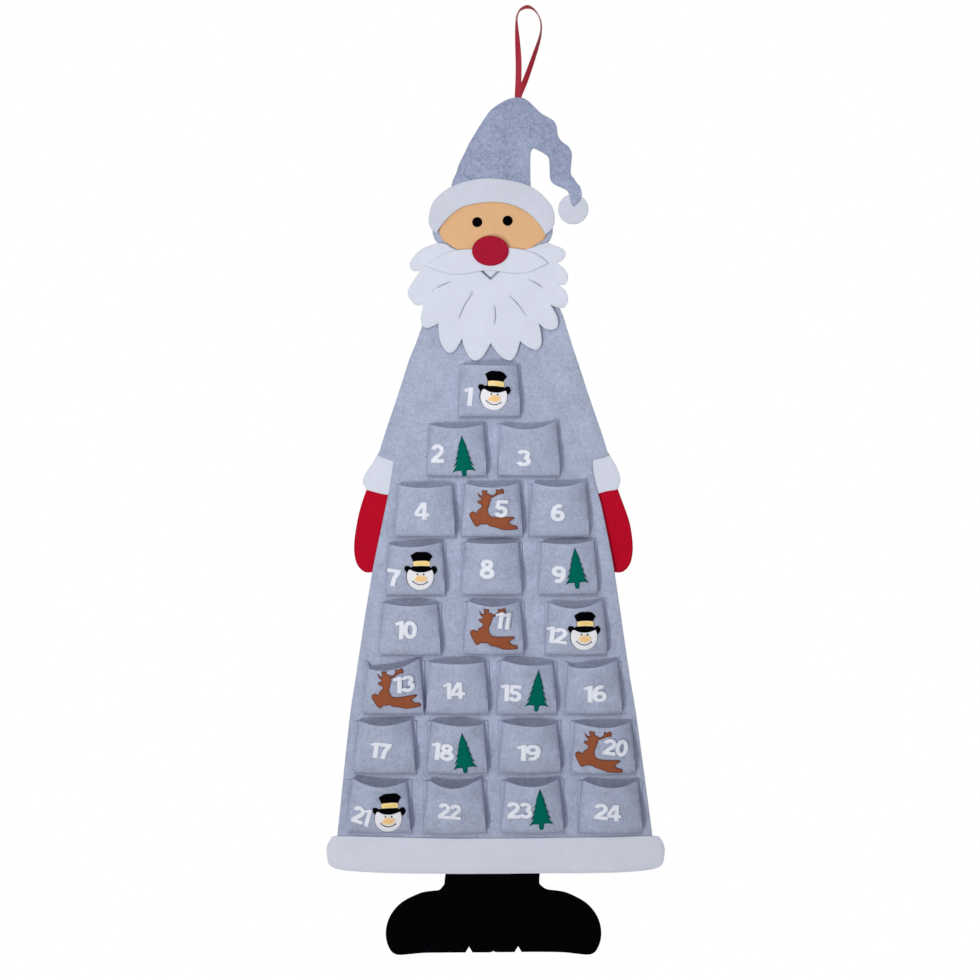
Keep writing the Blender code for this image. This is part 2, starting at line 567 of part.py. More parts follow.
def robe_pieces():
    half, sleeve_end = robe_half()
    outline = [(centre_x + lean(z) + x, z) for x, z in mirrored(half)]
    felt_plate("robe_panel", outline, robe_layer, materials["grey_felt"])

    armpit_x, armpit_z = sleeve_end[1]
    cuff = placed(smooth_outline(cuff_outline_shares), armpit_x - CUFF_TUCK,
                  armpit_z + CUFF_LIFT - CUFF_HEIGHT, CUFF_WIDTH, CUFF_HEIGHT)
    mitten_top = armpit_z + CUFF_LIFT - CUFF_HEIGHT + MITTEN_LAP
    mitten = placed(smooth_outline(mitten_outline_shares),
                    armpit_x - CUFF_TUCK + mitten_shift_share * MITTEN_WIDTH,
                    mitten_top - MITTEN_HEIGHT, MITTEN_WIDTH, MITTEN_HEIGHT)
    for side, turn in (("left", -1), ("right", 1)):
        sleeve_x = centre_x + lean(armpit_z)
        cuff_side = [(sleeve_x + turn * x, z) for x, z in cuff]
        mitten_side = [(sleeve_x + turn * x, z) for x, z in mitten]
        felt_plate("cuff_" + side, cuff_side, cuff_layer, materials["white_felt"])
        felt_plate("mitten_" + side, mitten_side, mitten_layer, materials["red_felt"])

    half_band = 0.5 * robe_width + HEM_OVERHANG
    band = mirrored([*smooth_run(hem_half_shares, 2), hem_half_shares[-1]])
    felt_plate("hem_band", placed(band, centre_x + HEM_OFFSET, hem_bottom, half_band, HEM_HEIGHT),
               hem_layer, materials["white_felt"])

    boots = mirrored([*smooth_outline(boots_half_shares), boots_half_shares[-1][-1]])
    boots_bottom = hem_bottom + BOOTS_LAP - BOOTS_HEIGHT
    felt_plate("boots", placed(boots, centre_x + BOOTS_OFFSET, boots_bottom, 0.5 * BOOTS_WIDTH,
                               BOOTS_HEIGHT), boots_layer, materials["black_felt"])


class Pocket:
    """A box pocket folded from one piece of felt: flanges, gussets, a bowed front and a floor."""

    def __init__(self, number, centre, bottom, width, sag):
        self.number = number
        self.name = f"pocket_{number:02d}"
        self.centre = centre
        self.bottom = bottom
        self.width = width
        self.sag = sag
        self.half_foot = 0.5 * width - POCKET_FLANGE
        self.half_front = self.half_foot - 0.5 * FELT
        self.floor = bottom + POCKET_FLOOR_FLANGE
        self.rise = POCKET_HEIGHT - POCKET_FLOOR_FLANGE

    def bow(self, share):
        """How far the front stands out there, straight between its folds."""
        for low, high in zip(front_fold_shares, front_fold_shares[1:]):
            if share <= high:
                break
        ends = [POCKET_BOW * (1 - (2 * fold) ** 2) for fold in (low, high)]
        return ends[0] + (ends[1] - ends[0]) * (share - low) / (high - low)

    def reach(self, up):
        """How far the front's side edges stand out at this share of the height."""
        lean = POCKET_SLOPE * up
        levels = list(zip(floor_rise_shares, floor_reach_shares))
        for (low, start), (high, end) in zip(levels, levels[1:]):
            if up <= high:
                share = start + (end - start) * (up - low) / (high - low)
                return POCKET_DEPTH * share + lean
        return POCKET_DEPTH + lean

    def front_y(self, x, z):
        share = (x - self.centre) / (2 * self.half_front)
        up = (z - self.floor) / self.rise
        return pocket_back - self.reach(up) - self.bow(share)

    def fold_lines(self):
        """The X and Z values where the front bends."""
        across = [self.centre + 2 * self.half_front * share for share in front_fold_shares]
        up = [self.floor + self.rise * share for share in floor_rise_shares]
        return across, up

    def skin(self, inset):
        """Rows of points from the floor's flange to the mouth: inset 0 is the outside."""
        flat = pocket_back - FELT + inset
        foot = self.half_foot - inset
        front = self.half_front - inset
        floor = self.floor + inset

        def across(levels):
            """One row: the flange's edge, the gusset's foot and corner, the front, and back."""
            side_y, corner_y, fronts = levels
            left = [(-0.5 * self.width, flat), (-foot, side_y), (-foot, corner_y)]
            right = [(-x, y) for x, y in reversed(left)]
            middle = [(2 * front * share, y) for share, y in zip(front_fold_shares, fronts)]
            return left + middle + right

        level = [flat] * len(front_fold_shares)
        rows = [(self.bottom, across((flat, flat, level))), (floor, across((flat, flat, level)))]
        for up in (*floor_rise_shares, 1.0):
            reach = self.reach(up) - inset
            fronts = [pocket_back - reach - self.bow(share) for share in front_fold_shares]
            corner = pocket_back - corner_reach_share * reach
            height = max(self.floor + self.rise * up, floor)
            rows.append((height, across((flat, corner, fronts))))
        grid = []
        for number, (height, row) in enumerate(rows):
            points = []
            for x, y in row:
                z = height
                if number == len(rows) - 1 and abs(x) < front:
                    z -= self.sag * (1 - (x / front) ** 2)
                points.append(Vector((self.centre + x, y, z)))
            grid.append(points)
        return grid

    def build(self):
        builder = bmesh.new()
        outer = [[builder.verts.new(p) for p in row] for row in self.skin(0.0)]
        inner = [[builder.verts.new(p) for p in row] for row in self.skin(FELT)]
        for grid in (outer, inner):
            for row, above in zip(grid, grid[1:]):
                for a, b, c, d in zip(row, row[1:], above[1:], above):
                    builder.faces.new((a, b, c, d))
        rims = [(outer[0], inner[0]), (outer[-1], inner[-1])]
        rims += [([row[side] for row in outer], [row[side] for row in inner]) for side in (0, -1)]
        for near, far in rims:
            for a, b, c, d in zip(near, near[1:], far[1:], far):
                builder.faces.new((a, b, c, d))
        return make_object(self.name, builder, materials["grey_felt"], figure)


def make_pockets():
    """All 24 pockets by number, laid out in rows that widen with the robe."""
    pockets = {}
    number = 0
    for row, count in enumerate(row_counts):
        row_bottom = pockets_top - row * row_drop - POCKET_HEIGHT
        pitch = row_pitch_shares[row] * POCKET_WIDTH
        for place in range(count):
            shift_share, lift_share, width_share, sag_share = pocket_shares[number]
            number += 1
            across = (place - 0.5 * (count - 1)) * pitch + shift_share * POCKET_WIDTH
            pocket = Pocket(number, centre_x + across, row_bottom + lift_share * POCKET_HEIGHT,
                            width_share * POCKET_WIDTH, sag_share * POCKET_HEIGHT)
            pocket.build()
            pockets[number] = pocket
    return pockets


def applique(name, pocket, outline, thickness, under, material):
    """A cut-out shape that follows the bends of the pocket's front, or of one that lies on it."""
    builder = bmesh.new()
    face = builder.faces.new([builder.verts.new((x, 0.0, z)) for x, z in outline])
    across, up = pocket.fold_lines()
    cuts = [((x, 0.0, 0.0), (1.0, 0.0, 0.0)) for x in across]
    cuts += [((0.0, 0.0, z), (0.0, 0.0, 1.0)) for z in up]
    for point, normal in cuts:
        geometry = [*builder.verts, *builder.edges, *builder.faces]
        bmesh.ops.bisect_plane(builder, geom=geometry, plane_co=point, plane_no=normal)
    faces = list(builder.faces)
    made = bmesh.ops.extrude_face_region(builder, geom=faces)["geom"]
    back = {part for part in made if isinstance(part, bmesh.types.BMVert)}
    for vert in builder.verts:
        stand = under + LAYER_GAP + (0.0 if vert in back else thickness)
        vert.co.y = pocket.front_y(vert.co.x, vert.co.z) - stand
    return make_object(name, builder, material, figure)


def centred(outline, pocket, middle, width, height):
    """An outline in shares, placed by its middle's shares of the pocket's size, and tilted."""
    middle_x = pocket.centre + (middle[0] - 0.5) * pocket.width
    middle_z = pocket.bottom + middle[1] * POCKET_HEIGHT
    tilt = math.radians(applique_tilt_degrees.get(pocket.number, 0.0))
    upright = [((x - 0.5) * width, (z - 0.5) * height) for x, z in outline]
    return [(middle_x + x * math.cos(tilt) - z * math.sin(tilt),
             middle_z + x * math.sin(tilt) + z * math.cos(tilt)) for x, z in upright]


def arc_shares(centre, share, angles):
    """An arc whose radius is a share of the snowman's width, in shares of width and height."""
    stretch = SNOWMAN_WIDTH / SNOWMAN_HEIGHT
    arc = arc_points((0.0, 0.0), share, angles)
    return [(centre[0] + x, centre[1] + z * stretch) for x, z in arc]


def snowmen(pockets):
    backing_arc = arc_shares(snowman_backing_centre_shares, snowman_backing_share,
                             snowman_backing_angles)
    face_arc = arc_shares(snowman_face_centre_shares, snowman_face_share, snowman_face_angles)
    for number, middle in snowman_place_shares.items():
        size = (SNOWMAN_WIDTH, SNOWMAN_HEIGHT)
        backing = centred([*snowman_hat_shares, *backing_arc], pockets[number], middle, *size)
        face = centred([*face_arc, *snowman_brim_shares], pockets[number], middle, *size)
        applique(f"snowman_hat_{number:02d}", pockets[number], backing, THIN_FELT, 0.0,
                 materials["black_felt"])
        applique(f"snowman_face_{number:02d}", pockets[number], face, THIN_FELT,
                 THIN_FELT + LAYER_GAP, materials["white_felt"])


def tree_outline():
    """A fir in shares: tiers whose tips droop below the notches between them, and a trunk."""
    half = [(0.0, 1.0)]
    for tier in range(TREE_TIERS):
        down = (tier + 1) / TREE_TIERS
        tip = 0.5 * (tree_first_tier_share + (1 - tree_first_tier_share) * down)
        level = 1 - tree_crown_share - tree_tier_share * down
        half.append((tip, level))
        half.append((tip * tree_notch_shares[0], level + tree_notch_shares[1]))
    trunk, drop = tree_trunk_shares
    base = half[-1][1]
    half.append((0.5 * trunk, base))
    half.append((0.5 * trunk * (1 - trunk), base - drop))
    half.append((0.0, 0.0))
    return [(0.5 + x, z) for x, z in mirrored(half)]


def trees(pockets):
    for number, middle in tree_place_shares.items():
        outline = centred(tree_outline(), pockets[number], middle, TREE_WIDTH, TREE_HEIGHT)
        applique(f"tree_{number:02d}", pockets[number], outline, THIN_FELT, 0.0,
                 materials["green_felt"])


def reindeer(pockets):
    for number, middle in reindeer_place_shares.items():
        outline = centred(reindeer_outline_shares, pockets[number], middle, REINDEER_WIDTH,
                          REINDEER_HEIGHT)
        applique(f"reindeer_{number:02d}", pockets[number], outline, THIN_FELT, 0.0,
                 materials["brown_felt"])


clear_scene()
materials = {
    "grey_felt": make_material("grey_felt", (0.38, 0.42, 0.53)),
    "white_felt": make_material("white_felt", (0.68, 0.7, 0.78)),
    "red_felt": make_material("red_felt", (0.45, 0.012, 0.03)),
    "peach_felt": make_material("peach_felt", (0.75, 0.45, 0.22)),
    "black_felt": make_material("black_felt", (0.008, 0.008, 0.01)),
    "green_felt": make_material("green_felt", (0.0, 0.15, 0.09)),
    "brown_felt": make_material("brown_felt", (0.3, 0.1, 0.05)),
    "ribbon_satin": make_material("ribbon_satin", (0.4, 0.02, 0.05), roughness=0.4),
}
# The loop hangs on the nail, and the figure folds on the ribbon just above the hat
nail = make_empty("nail", (0.0, 0.0, 0.0))
figure = make_empty("figure", (foot_x, tails_layer[1] + FOLD_CLEARANCE, hat_top + FOLD_RISE))
ribbon_loop()
ribbon_tails()
head_pieces()
beard_pieces()
robe_pieces()
sewn_pockets = make_pockets()
snowmen(sewn_pockets)
trees(sewn_pockets)
reindeer(sewn_pockets)
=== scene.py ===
"""Felt advent calendar, dressed: cut felt layers, sewn box pockets, appliques, numbers and ribbon.

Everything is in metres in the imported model's frame. Z is up, the front faces -Y, and the origin is
where the ribbon hangs on its nail. A felt piece takes its outline from its solid, and gets the
felt's rounded edge, its gentle waves and its wool from here.
"""

import math
import random

import bmesh
import bpy
import numpy as np
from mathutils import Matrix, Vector, geometry, kdtree, noise


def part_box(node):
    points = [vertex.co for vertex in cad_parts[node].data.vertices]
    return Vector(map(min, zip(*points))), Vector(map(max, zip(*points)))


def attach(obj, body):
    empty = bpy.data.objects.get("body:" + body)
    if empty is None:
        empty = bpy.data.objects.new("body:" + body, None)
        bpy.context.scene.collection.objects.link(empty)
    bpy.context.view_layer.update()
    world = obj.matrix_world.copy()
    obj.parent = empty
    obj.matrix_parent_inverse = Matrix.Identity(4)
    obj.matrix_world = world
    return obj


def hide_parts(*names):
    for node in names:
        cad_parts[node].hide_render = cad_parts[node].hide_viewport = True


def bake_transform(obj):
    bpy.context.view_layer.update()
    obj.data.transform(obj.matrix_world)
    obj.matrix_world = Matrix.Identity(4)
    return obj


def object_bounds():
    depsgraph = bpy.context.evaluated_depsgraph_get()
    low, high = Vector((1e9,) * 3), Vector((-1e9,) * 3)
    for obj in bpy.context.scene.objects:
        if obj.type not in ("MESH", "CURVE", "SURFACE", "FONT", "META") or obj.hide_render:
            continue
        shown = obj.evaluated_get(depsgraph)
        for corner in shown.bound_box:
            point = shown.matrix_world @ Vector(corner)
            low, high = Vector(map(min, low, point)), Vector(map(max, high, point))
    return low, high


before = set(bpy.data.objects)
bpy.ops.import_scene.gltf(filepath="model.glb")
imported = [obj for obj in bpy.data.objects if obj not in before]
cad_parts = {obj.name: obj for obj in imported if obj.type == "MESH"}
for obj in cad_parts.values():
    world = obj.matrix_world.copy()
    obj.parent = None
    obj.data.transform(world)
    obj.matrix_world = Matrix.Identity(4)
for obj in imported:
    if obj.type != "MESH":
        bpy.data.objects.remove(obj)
cad_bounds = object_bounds()
boxes = {node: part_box(node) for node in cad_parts}

# The photograph's frame: one pixel at the figure, where the nail is, and what the lens looks straight at
PIXEL = 0.001165
FRAME_PIXELS = 980
NAIL_PIXEL = (527.6, 5.7)
LENS_PIXEL = (490.0, 365.0)
CAMERA_DISTANCE = 1.3
SENSOR_MM = 36.0

# Felt
FELT = 0.002
THIN_FELT = 0.001
LAYER_GAP = 0.0003
EDGE_ROUND = 0.0005
EDGE_BAND = 0.0016
CORNER_DEGREES = 38.0
CURVE_STEPS = 3
SMALLEST_SHEET = 0.01
TINY = 1e-9
SHORTEST_STEP = 1e-6
WELD = 1e-5
rim_shares = (0.35, 1.0)
edge_limit_share = 0.45

# How far the hanging felt waves, broad and fine, and how far free ends stand off
BROAD_WAVE = 0.0028
FINE_WAVE = 0.0007
BEARD_LIFT = 0.0022
MOUSTACHE_LIFT = 0.0012
BRIM_LIFT = 0.0012
TAIL_LIFT = 0.004
MITTEN_LIFT = 0.003
BOOT_LIFT = 0.002

# Pockets, folded from one piece of felt
POCKET_FLANGE = 0.003
POCKET_FLOOR_FLANGE = 0.0024
POCKET_FLARE = 0.0036
UPPER_MOUTH_DRAW = 0.0003
LOWER_MOUTH_DRAW = 0.0034
POCKET_DEPTH = 0.0125
POCKET_BOW = 0.0055
POCKET_SLOPE = 0.0025
CORNER_DRAW = 0.006
MOUTH_BOW = 0.0065
UPPER_FOLD_DROP = 0.0024
LOWER_FOLD_DROP = -0.002
POCKET_DENT = 0.0007
POCKET_SHARP_DEGREES = 60.0
SEAM_RISE = 0.0002
SEAM_TOP_DROP = 0.002
seam_share = 0.45
mouth_start_share = 0.3
fold_share = 0.3
# Where the front stands out in full, and how steeply its sides draw in and its mouth falls
FULL_REACH_RISE = 0.018
MOUTH_DRAW_POWER = 1.6
MOUTH_FALL_POWER = 2.5
# How far below its pocket's top each mouth's rim lies at its left end, middle and right end, in pixels
pocket_rims = {
    1: (-0.2, 0.8, 0.7), 2: (0.4, 3.5, -0.2), 3: (-0.1, 4.2, -3.5), 4: (-0.3, 1.6, -0.6),
    5: (-1.6, 1.3, -2.4), 6: (-2.5, 0.5, -4.4), 7: (0.4, 1.3, -1.8), 8: (-1.7, -1.4, -1.7),
    9: (-1.2, -0.8, -3.0), 10: (-1.1, -0.1, -0.1), 11: (-2.3, 1.1, -2.0), 12: (-1.1, 2.5, -3.8),
    13: (5.8, 3.7, -3.9), 14: (-0.7, -1.3, -1.0), 15: (-3.1, -0.5, 0.8), 16: (3.2, 1.6, -2.9),
    17: (-1.6, -0.1, -2.9), 18: (-1.4, 0.0, 1.6), 19: (0.5, 1.2, 1.5), 20: (0.0, 1.4, -0.4),
    21: (-3.3, 1.4, -0.2), 22: (-2.4, 1.4, -4.5), 23: (-1.1, 0.7, -3.1), 24: (-2.0, 1.0, -2.1),
}
# Pockets that stand a little beside their solids, in pixels
pocket_shifts = {1: -1.7, 6: -1.9, 9: -1.5, 16: -1.4}

# Numbers: their height, their felt, and where each one's middle is in the photograph
DIGIT_HEIGHT = 0.0222
DIGIT_FELT = 0.0013
SECOND_DIGIT_RISE = 0.0004
digit_stroke_share = 0.225
two_digit_share = 0.96
number_pixels = {
    1: (468.9, 396.4), 2: (438.0, 453.2), 3: (524.2, 457.6), 4: (422.0, 510.6), 5: (501.7, 508.2),
    6: (557.6, 512.3), 7: (394.3, 577.1), 8: (487.2, 568.7), 9: (559.0, 573.9), 10: (406.6, 629.3),
    11: (503.3, 620.0), 12: (557.0, 634.7), 13: (404.8, 683.0), 14: (454.2, 689.6),
    15: (511.7, 692.3), 16: (595.1, 692.8), 17: (381.3, 749.4), 18: (443.1, 750.4),
    19: (529.1, 751.4), 20: (615.4, 745.8), 21: (362.1, 814.0), 22: (450.2, 809.4),
    23: (519.9, 808.9), 24: (607.4, 810.5),
}
# How wide and how tall each number was cut
plain_number_shares = (1.1, 0.9)
number_shares = {
    1: (1.1, 0.97), 2: (1.03, 0.99), 3: (1.15, 0.85), 8: (1.17, 1.02), 10: (1.13, 1.0),
    16: (1.18, 0.91), 17: (1.13, 0.85), 18: (1.2, 0.92), 19: (1.24, 0.87), 20: (1.06, 0.9),
    21: (0.98, 0.95), 22: (0.96, 0.87), 23: (1.07, 0.88), 24: (1.09, 0.88),
}
# How far each number leans, in degrees
number_tilts = {1: -3.0, 5: -2.0, 7: -3.0, 10: 2.0, 11: -6.0, 12: -4.0, 13: 5.0, 14: 4.0, 16: 3.0,
                17: -5.0, 18: -3.0, 19: 2.0, 20: -8.0, 21: -14.0, 22: -4.0, 23: 3.0, 24: -3.0}

# Cuts in the beard: start, bend and end in the photograph
SLIT_HALF = 0.0003
slit_pixels = (
    ((432.8, 291.9), (440.8, 286.3), (451.2, 282.2)), ((459.3, 318.9), (464.3, 306.6), (473.0, 292.9)),
    ((494.4, 305.5), (495.6, 314.6), (494.6, 324.0)), ((509.6, 296.2), (518.5, 305.3), (525.9, 316.0)),
    ((527.9, 280.1), (535.5, 283.3), (542.5, 288.4)),
)
SLIT_STEPS = 5

# The corner of the hat that is tucked behind the head, and the seam across its tail
HAT_TUCK = 0.0085
TUCK_REACH = 0.016
tail_stitch_pixels = ((570.8, 195.6), (579.4, 195.1))
TAIL_SEAM_STEPS = 8
TAIL_SEAM_RISE = 0.0004

# Where the cut felt bulges or draws in: middle and reach in the photograph, then how far it moves there
LONGEST_SIDE = 0.004
outline_nudges = {
    "hat": (((463.0, 155.0), (14.0, 15.0), (1.3, 0.0)), ((451.8, 184.0), (12.0, 14.0), (-2.2, 0.0)),
            ((575.0, 176.5), (7.0, 11.0), (-2.9, 0.0)), ((564.0, 142.0), (8.0, 8.0), (-1.8, 0.0)),
            ((535.5, 107.0), (6.0, 6.0), (1.2, 0.6)), ((578.4, 181.8), (6.0, 8.0), (-1.8, 1.3)),
            ((574.6, 205.0), (5.0, 6.0), (-1.3, 1.3)), ((508.0, 98.0), (26.0, 20.0), (0.6, 2.2))),
    "robe_panel": (((563.0, 321.0), (14.0, 26.0), (2.6, 0.0)), ((415.5, 342.0), (12.0, 18.0), (1.3, 0.0)),
                   ((357.0, 680.0), (70.0, 190.0), (-1.7, 0.0)),
                   ((631.0, 680.0), (70.0, 170.0), (-1.2, 0.0)),
                   ((595.0, 476.0), (13.0, 34.0), (-2.4, -0.9))),
    "hem_band": (((493.0, 875.5), (130.0, 9.0), (0.0, -1.6)),),
    "cuff_left": (((377.4, 457.0), (9.0, 7.0), (1.0, -4.0)),),
    "cuff_right": (((609.6, 457.0), (9.0, 7.0), (-1.0, -4.0)),
                   ((624.0, 480.0), (15.0, 20.0), (-3.6, -1.5)),
                   ((607.0, 494.0), (18.0, 9.0), (0.0, -2.2))),
    "mitten_right": (((622.0, 496.0), (34.0, 34.0), (-3.0, -1.5)),),
    "boots": (((446.0, 884.0), (10.0, 20.0), (-1.8, 0.0)), ((540.5, 884.0), (10.0, 20.0), (-1.6, 0.0))),
    "moustache": (((457.5, 271.0), (34.0, 13.0), (0.0, 4.2)), ((520.5, 271.0), (34.0, 13.0), (0.0, 3.4))),
}
# Pieces whose corners are softened, and edges that are rounder or finer than the others
soft_corner_rounds = {"hem_band": 7}
edge_rounds = {"moustache": 0.0009}
APPLIQUE_ROUND = 0.0003
# How far the eyes outgrow their solids, and how far the mouth's cut opens, on each side
EYE_GROWTH = 0.0006
MOUTH_CUT_GROWTH = 0.00025

# Lamps: place and target from the figure's middle, size, power and colour
lamps = {
    "key_lamp": ((-1.0, -2.3, -0.74), (0.0, 0.0, 0.0), (0.4, 0.35), 37.0, (1.0, 0.985, 0.96)),
    "fill_lamp": ((-0.1, -1.1, 0.34), (0.0, 0.0, 0.3), (1.1, 0.6), 6.2, (0.97, 0.98, 1.0)),
}
SKY = (0.93, 0.95, 1.0)
SKY_STRENGTH = 0.36
FLOOR = (0.3, 0.31, 0.33)
FLOOR_DROP = 0.25
FLOOR_HALF = 3.0

# Wool's blotches, flecks, specks and fibres: scale, detail, roughness and distortion
wool_noises = ((42.0, 3.0, 0.55, 0.0), (260.0, 3.0, 0.7, 0.8), (620.0, 2.0, 0.6, 0.0),
               (2300.0, 2.0, 0.6, 1.5))
fleck_share = 0.6
fibre_share = 0.45
dark_wool_share = 0.35

# Felts: the wool, its darker shade and the tone it takes near its edges, then how cloudy and how flecked
# it is, and how much of the edge's tone its edge takes. A darker edge tone is partly painted shade along
# the edges.
GREY = (0.43, 0.475, 0.62)
WHITE = (0.68, 0.705, 0.8)
plain_edge_share = 0.35


def shaded(colour, factor):
    return tuple(channel * factor for channel in colour)


felt_looks = {
    # The robe's darker edge tone is partly a painted shadow line along its edges.
    "grey_felt": (shaded(GREY, 1.08), shaded(GREY, 0.6), shaded(GREY, 0.78), 0.9, 2.5),
    "hat_felt": ((0.375, 0.425, 0.58), (0.165, 0.195, 0.295), (0.27, 0.31, 0.45), 0.9, 3.0),
    "pocket_felt": (shaded(GREY, 1.03), shaded(GREY, 0.6), shaded(GREY, 1.08), 0.9, 2.5),
    "white_felt": (shaded(WHITE, 1.04), shaded(WHITE, 0.9), shaded(WHITE, 0.88), 0.8, 1.0),
    "brim_felt": (shaded(WHITE, 0.94), shaded(WHITE, 0.8), shaded(WHITE, 0.8), 0.8, 1.2),
    "digit_felt": ((0.84, 0.86, 0.92), (0.72, 0.75, 0.83), (0.66, 0.68, 0.77), 0.8, 1.0),
    "snow_felt": ((0.86, 0.86, 0.88), (0.74, 0.74, 0.78), (0.7, 0.7, 0.76), 0.8, 1.0),
    "red_felt": ((0.52, 0.004, 0.022), (0.415, 0.003, 0.018), (0.33, 0.003, 0.014), 0.8, 0.9),
    "dark_red_felt": ((0.4, 0.0105, 0.033), (0.33, 0.008, 0.027), (0.3, 0.008, 0.03), 0.8, 0.9),
    "peach_felt": ((0.76, 0.46, 0.235), (0.68, 0.4, 0.2), (0.66, 0.36, 0.2), 0.8, 0.8),
    "black_felt": ((0.0015, 0.0015, 0.0025), (0.0006, 0.0006, 0.001), (0.003, 0.003, 0.005), 0.8, 1.2),
    "green_felt": ((0.0, 0.145, 0.105), (0.0, 0.115, 0.082), (0.003, 0.06, 0.055), 0.8, 0.9, 0.6),
    "brown_felt": ((0.32, 0.095, 0.042), (0.25, 0.072, 0.032), (0.11, 0.045, 0.045), 0.8, 0.9, 0.7),
    "nose_felt": ((0.92, 0.6, 0.28), (0.84, 0.5, 0.22), (0.95, 0.8, 0.52), 0.8, 0.8, 0.8),
    # The gold band's paler edge tone is a painted highlight along its edges.
    "gold_satin": ((0.95, 0.7, 0.2), (0.84, 0.54, 0.1), (1.0, 0.88, 0.6), 1.0, 0.5, 0.5),
}
# Gloss and sheen, where they aren't as on the other felts, and where a felt's blotches start
plain_gloss = (0.2, 0.06)
felt_glosses = {"red_felt": (0.05, 0.015), "dark_red_felt": (0.05, 0.015), "black_felt": (0.01, 0.0),
                "green_felt": (0.03, 0.0), "brown_felt": (0.05, 0.02)}
felt_offsets = {"hat_felt": (0.11, 0.43, 0.29), "pocket_felt": (0.37, 0.21, 0.13)}
thread_colours = {"grey_thread": shaded(GREY, 0.8), "pale_thread": (0.66, 0.7, 0.82),
                  "black_thread": (0.006, 0.006, 0.008)}
RIBBON_RED = (0.47, 0.012, 0.036)
DARK_RIBBON_RED = (0.22, 0.006, 0.018)
RIBBON_THREADS = 2600.0

# Which pockets carry what
snowman_numbers = (1, 7, 12, 21)
tree_numbers = (2, 9, 15, 18, 23)
reindeer_numbers = (5, 11, 13, 20)


def frame_point(pixel):
    """X and Z at the figure of a place in the photograph."""
    return (pixel[0] - NAIL_PIXEL[0]) * PIXEL, (NAIL_PIXEL[1] - pixel[1]) * PIXEL


def smoothstep(low, high, value):
    t = min(max((value - low) / (high - low), 0.0), 1.0)
    return t * t * (3 - 2 * t)


def mixed(start, end, share):
    return start + (end - start) * share


def add_object(name, data, material=None):
    made = bpy.data.objects.new(name, data)
    bpy.context.scene.collection.objects.link(made)
    if material:
        data.materials.append(material)
    return made


# Nodes

def set_inputs(tree, node, inputs):
    """Gives a node's inputs their values, or links them where the value is a socket."""
    for key, value in inputs.items():
        if isinstance(value, bpy.types.NodeSocket):
            tree.links.new(value, node.inputs[key])
        else:
            node.inputs[key].default_value = value


def new_node(tree, kind, inputs=None, **settings):
    node = tree.nodes.new(kind)
    for key, value in settings.items():
        setattr(node, key, value)
    set_inputs(tree, node, inputs or {})
    return node


def group_socket(tree, name, kind, value=None, way="INPUT"):
    socket = tree.interface.new_socket(name, in_out=way, socket_type="NodeSocket" + kind)
    if value is not None:
        socket.default_value = value


def maths(tree, operation, first, second=None, **settings):
    """The output of a Math node, whose inputs are numbers or sockets."""
    inputs = {0: first} if second is None else {0: first, 1: second}
    return new_node(tree, "ShaderNodeMath", inputs, operation=operation, **settings).outputs[0]


def weighed(tree, share, first, second):
    """The first value by this share and the second by the rest."""
    return maths(tree, "ADD", maths(tree, "MULTIPLY", first, share),
                 maths(tree, "MULTIPLY", second, 1 - share))


def colour_mix(tree, share, first, second):
    return new_node(tree, "ShaderNodeMix", {0: share, 6: first, 7: second}, data_type="RGBA").outputs[2]


def noise_value(tree, place, scale, detail, roughness=0.5, distortion=0.0):
    return new_node(tree, "ShaderNodeTexNoise", {
        "Vector": place, "Scale": scale, "Detail": detail, "Roughness": roughness,
        "Distortion": distortion,
    }).outputs["Fac"]


def bump_normal(tree, height, strength, distance):
    return new_node(tree, "ShaderNodeBump", {
        "Height": height, "Strength": strength, "Distance": distance,
    }).outputs["Normal"]


def rgba(colour):
    return (*colour, 1.0)


def new_material(name):
    material = bpy.data.materials.new(name)
    material.use_nodes = True
    return material, material.node_tree, material.node_tree.nodes["Principled BSDF"]


# Camera, lamps and the studio

def make_camera():
    x, z = frame_point(LENS_PIXEL)
    data = bpy.data.cameras.new("camera")
    data.sensor_width = SENSOR_MM
    data.lens = SENSOR_MM * CAMERA_DISTANCE / (PIXEL * FRAME_PIXELS)
    data.shift_y = (LENS_PIXEL[1] - 0.5 * FRAME_PIXELS) / FRAME_PIXELS
    camera = add_object("camera", data)
    camera.location = (x, -CAMERA_DISTANCE, z)
    camera.rotation_euler = (0.5 * math.pi, 0.0, 0.0)
    bpy.context.scene.camera = camera


def make_lamps():
    low, high = cad_bounds
    middle = 0.5 * (Vector(low) + Vector(high))
    for name, (place, target, size, power, colour) in lamps.items():
        data = bpy.data.lights.new(name, "AREA")
        data.shape = "RECTANGLE"
        data.size, data.size_y = size
        data.energy = power
        data.color = colour
        lamp = add_object(name, data)
        lamp.location = middle + Vector(place)
        lamp.rotation_euler = (Vector(target) - Vector(place)).to_track_quat("-Z", "Y").to_euler()


def white_seen(tree, lit, out_name):
    """White for the camera and for mirror-like rays, and the lit shader for all other light."""
    rays = new_node(tree, "ShaderNodeLightPath").outputs
    seen = maths(tree, "ADD", rays["Is Camera Ray"], rays["Is Glossy Ray"], use_clamp=True)
    seen = maths(tree, "ADD", seen, rays["Is Transmission Ray"], use_clamp=True)
    kind = "ShaderNodeBackground" if out_name == "World Output" else "ShaderNodeEmission"
    white = new_node(tree, kind, {"Color": (1.0, 1.0, 1.0, 1.0), "Strength": 1.0})
    mix = new_node(tree, "ShaderNodeMixShader", {"Fac": seen, 1: lit.outputs[0], 2: white.outputs[0]})
    tree.links.new(mix.outputs[0], tree.nodes[out_name].inputs["Surface"])


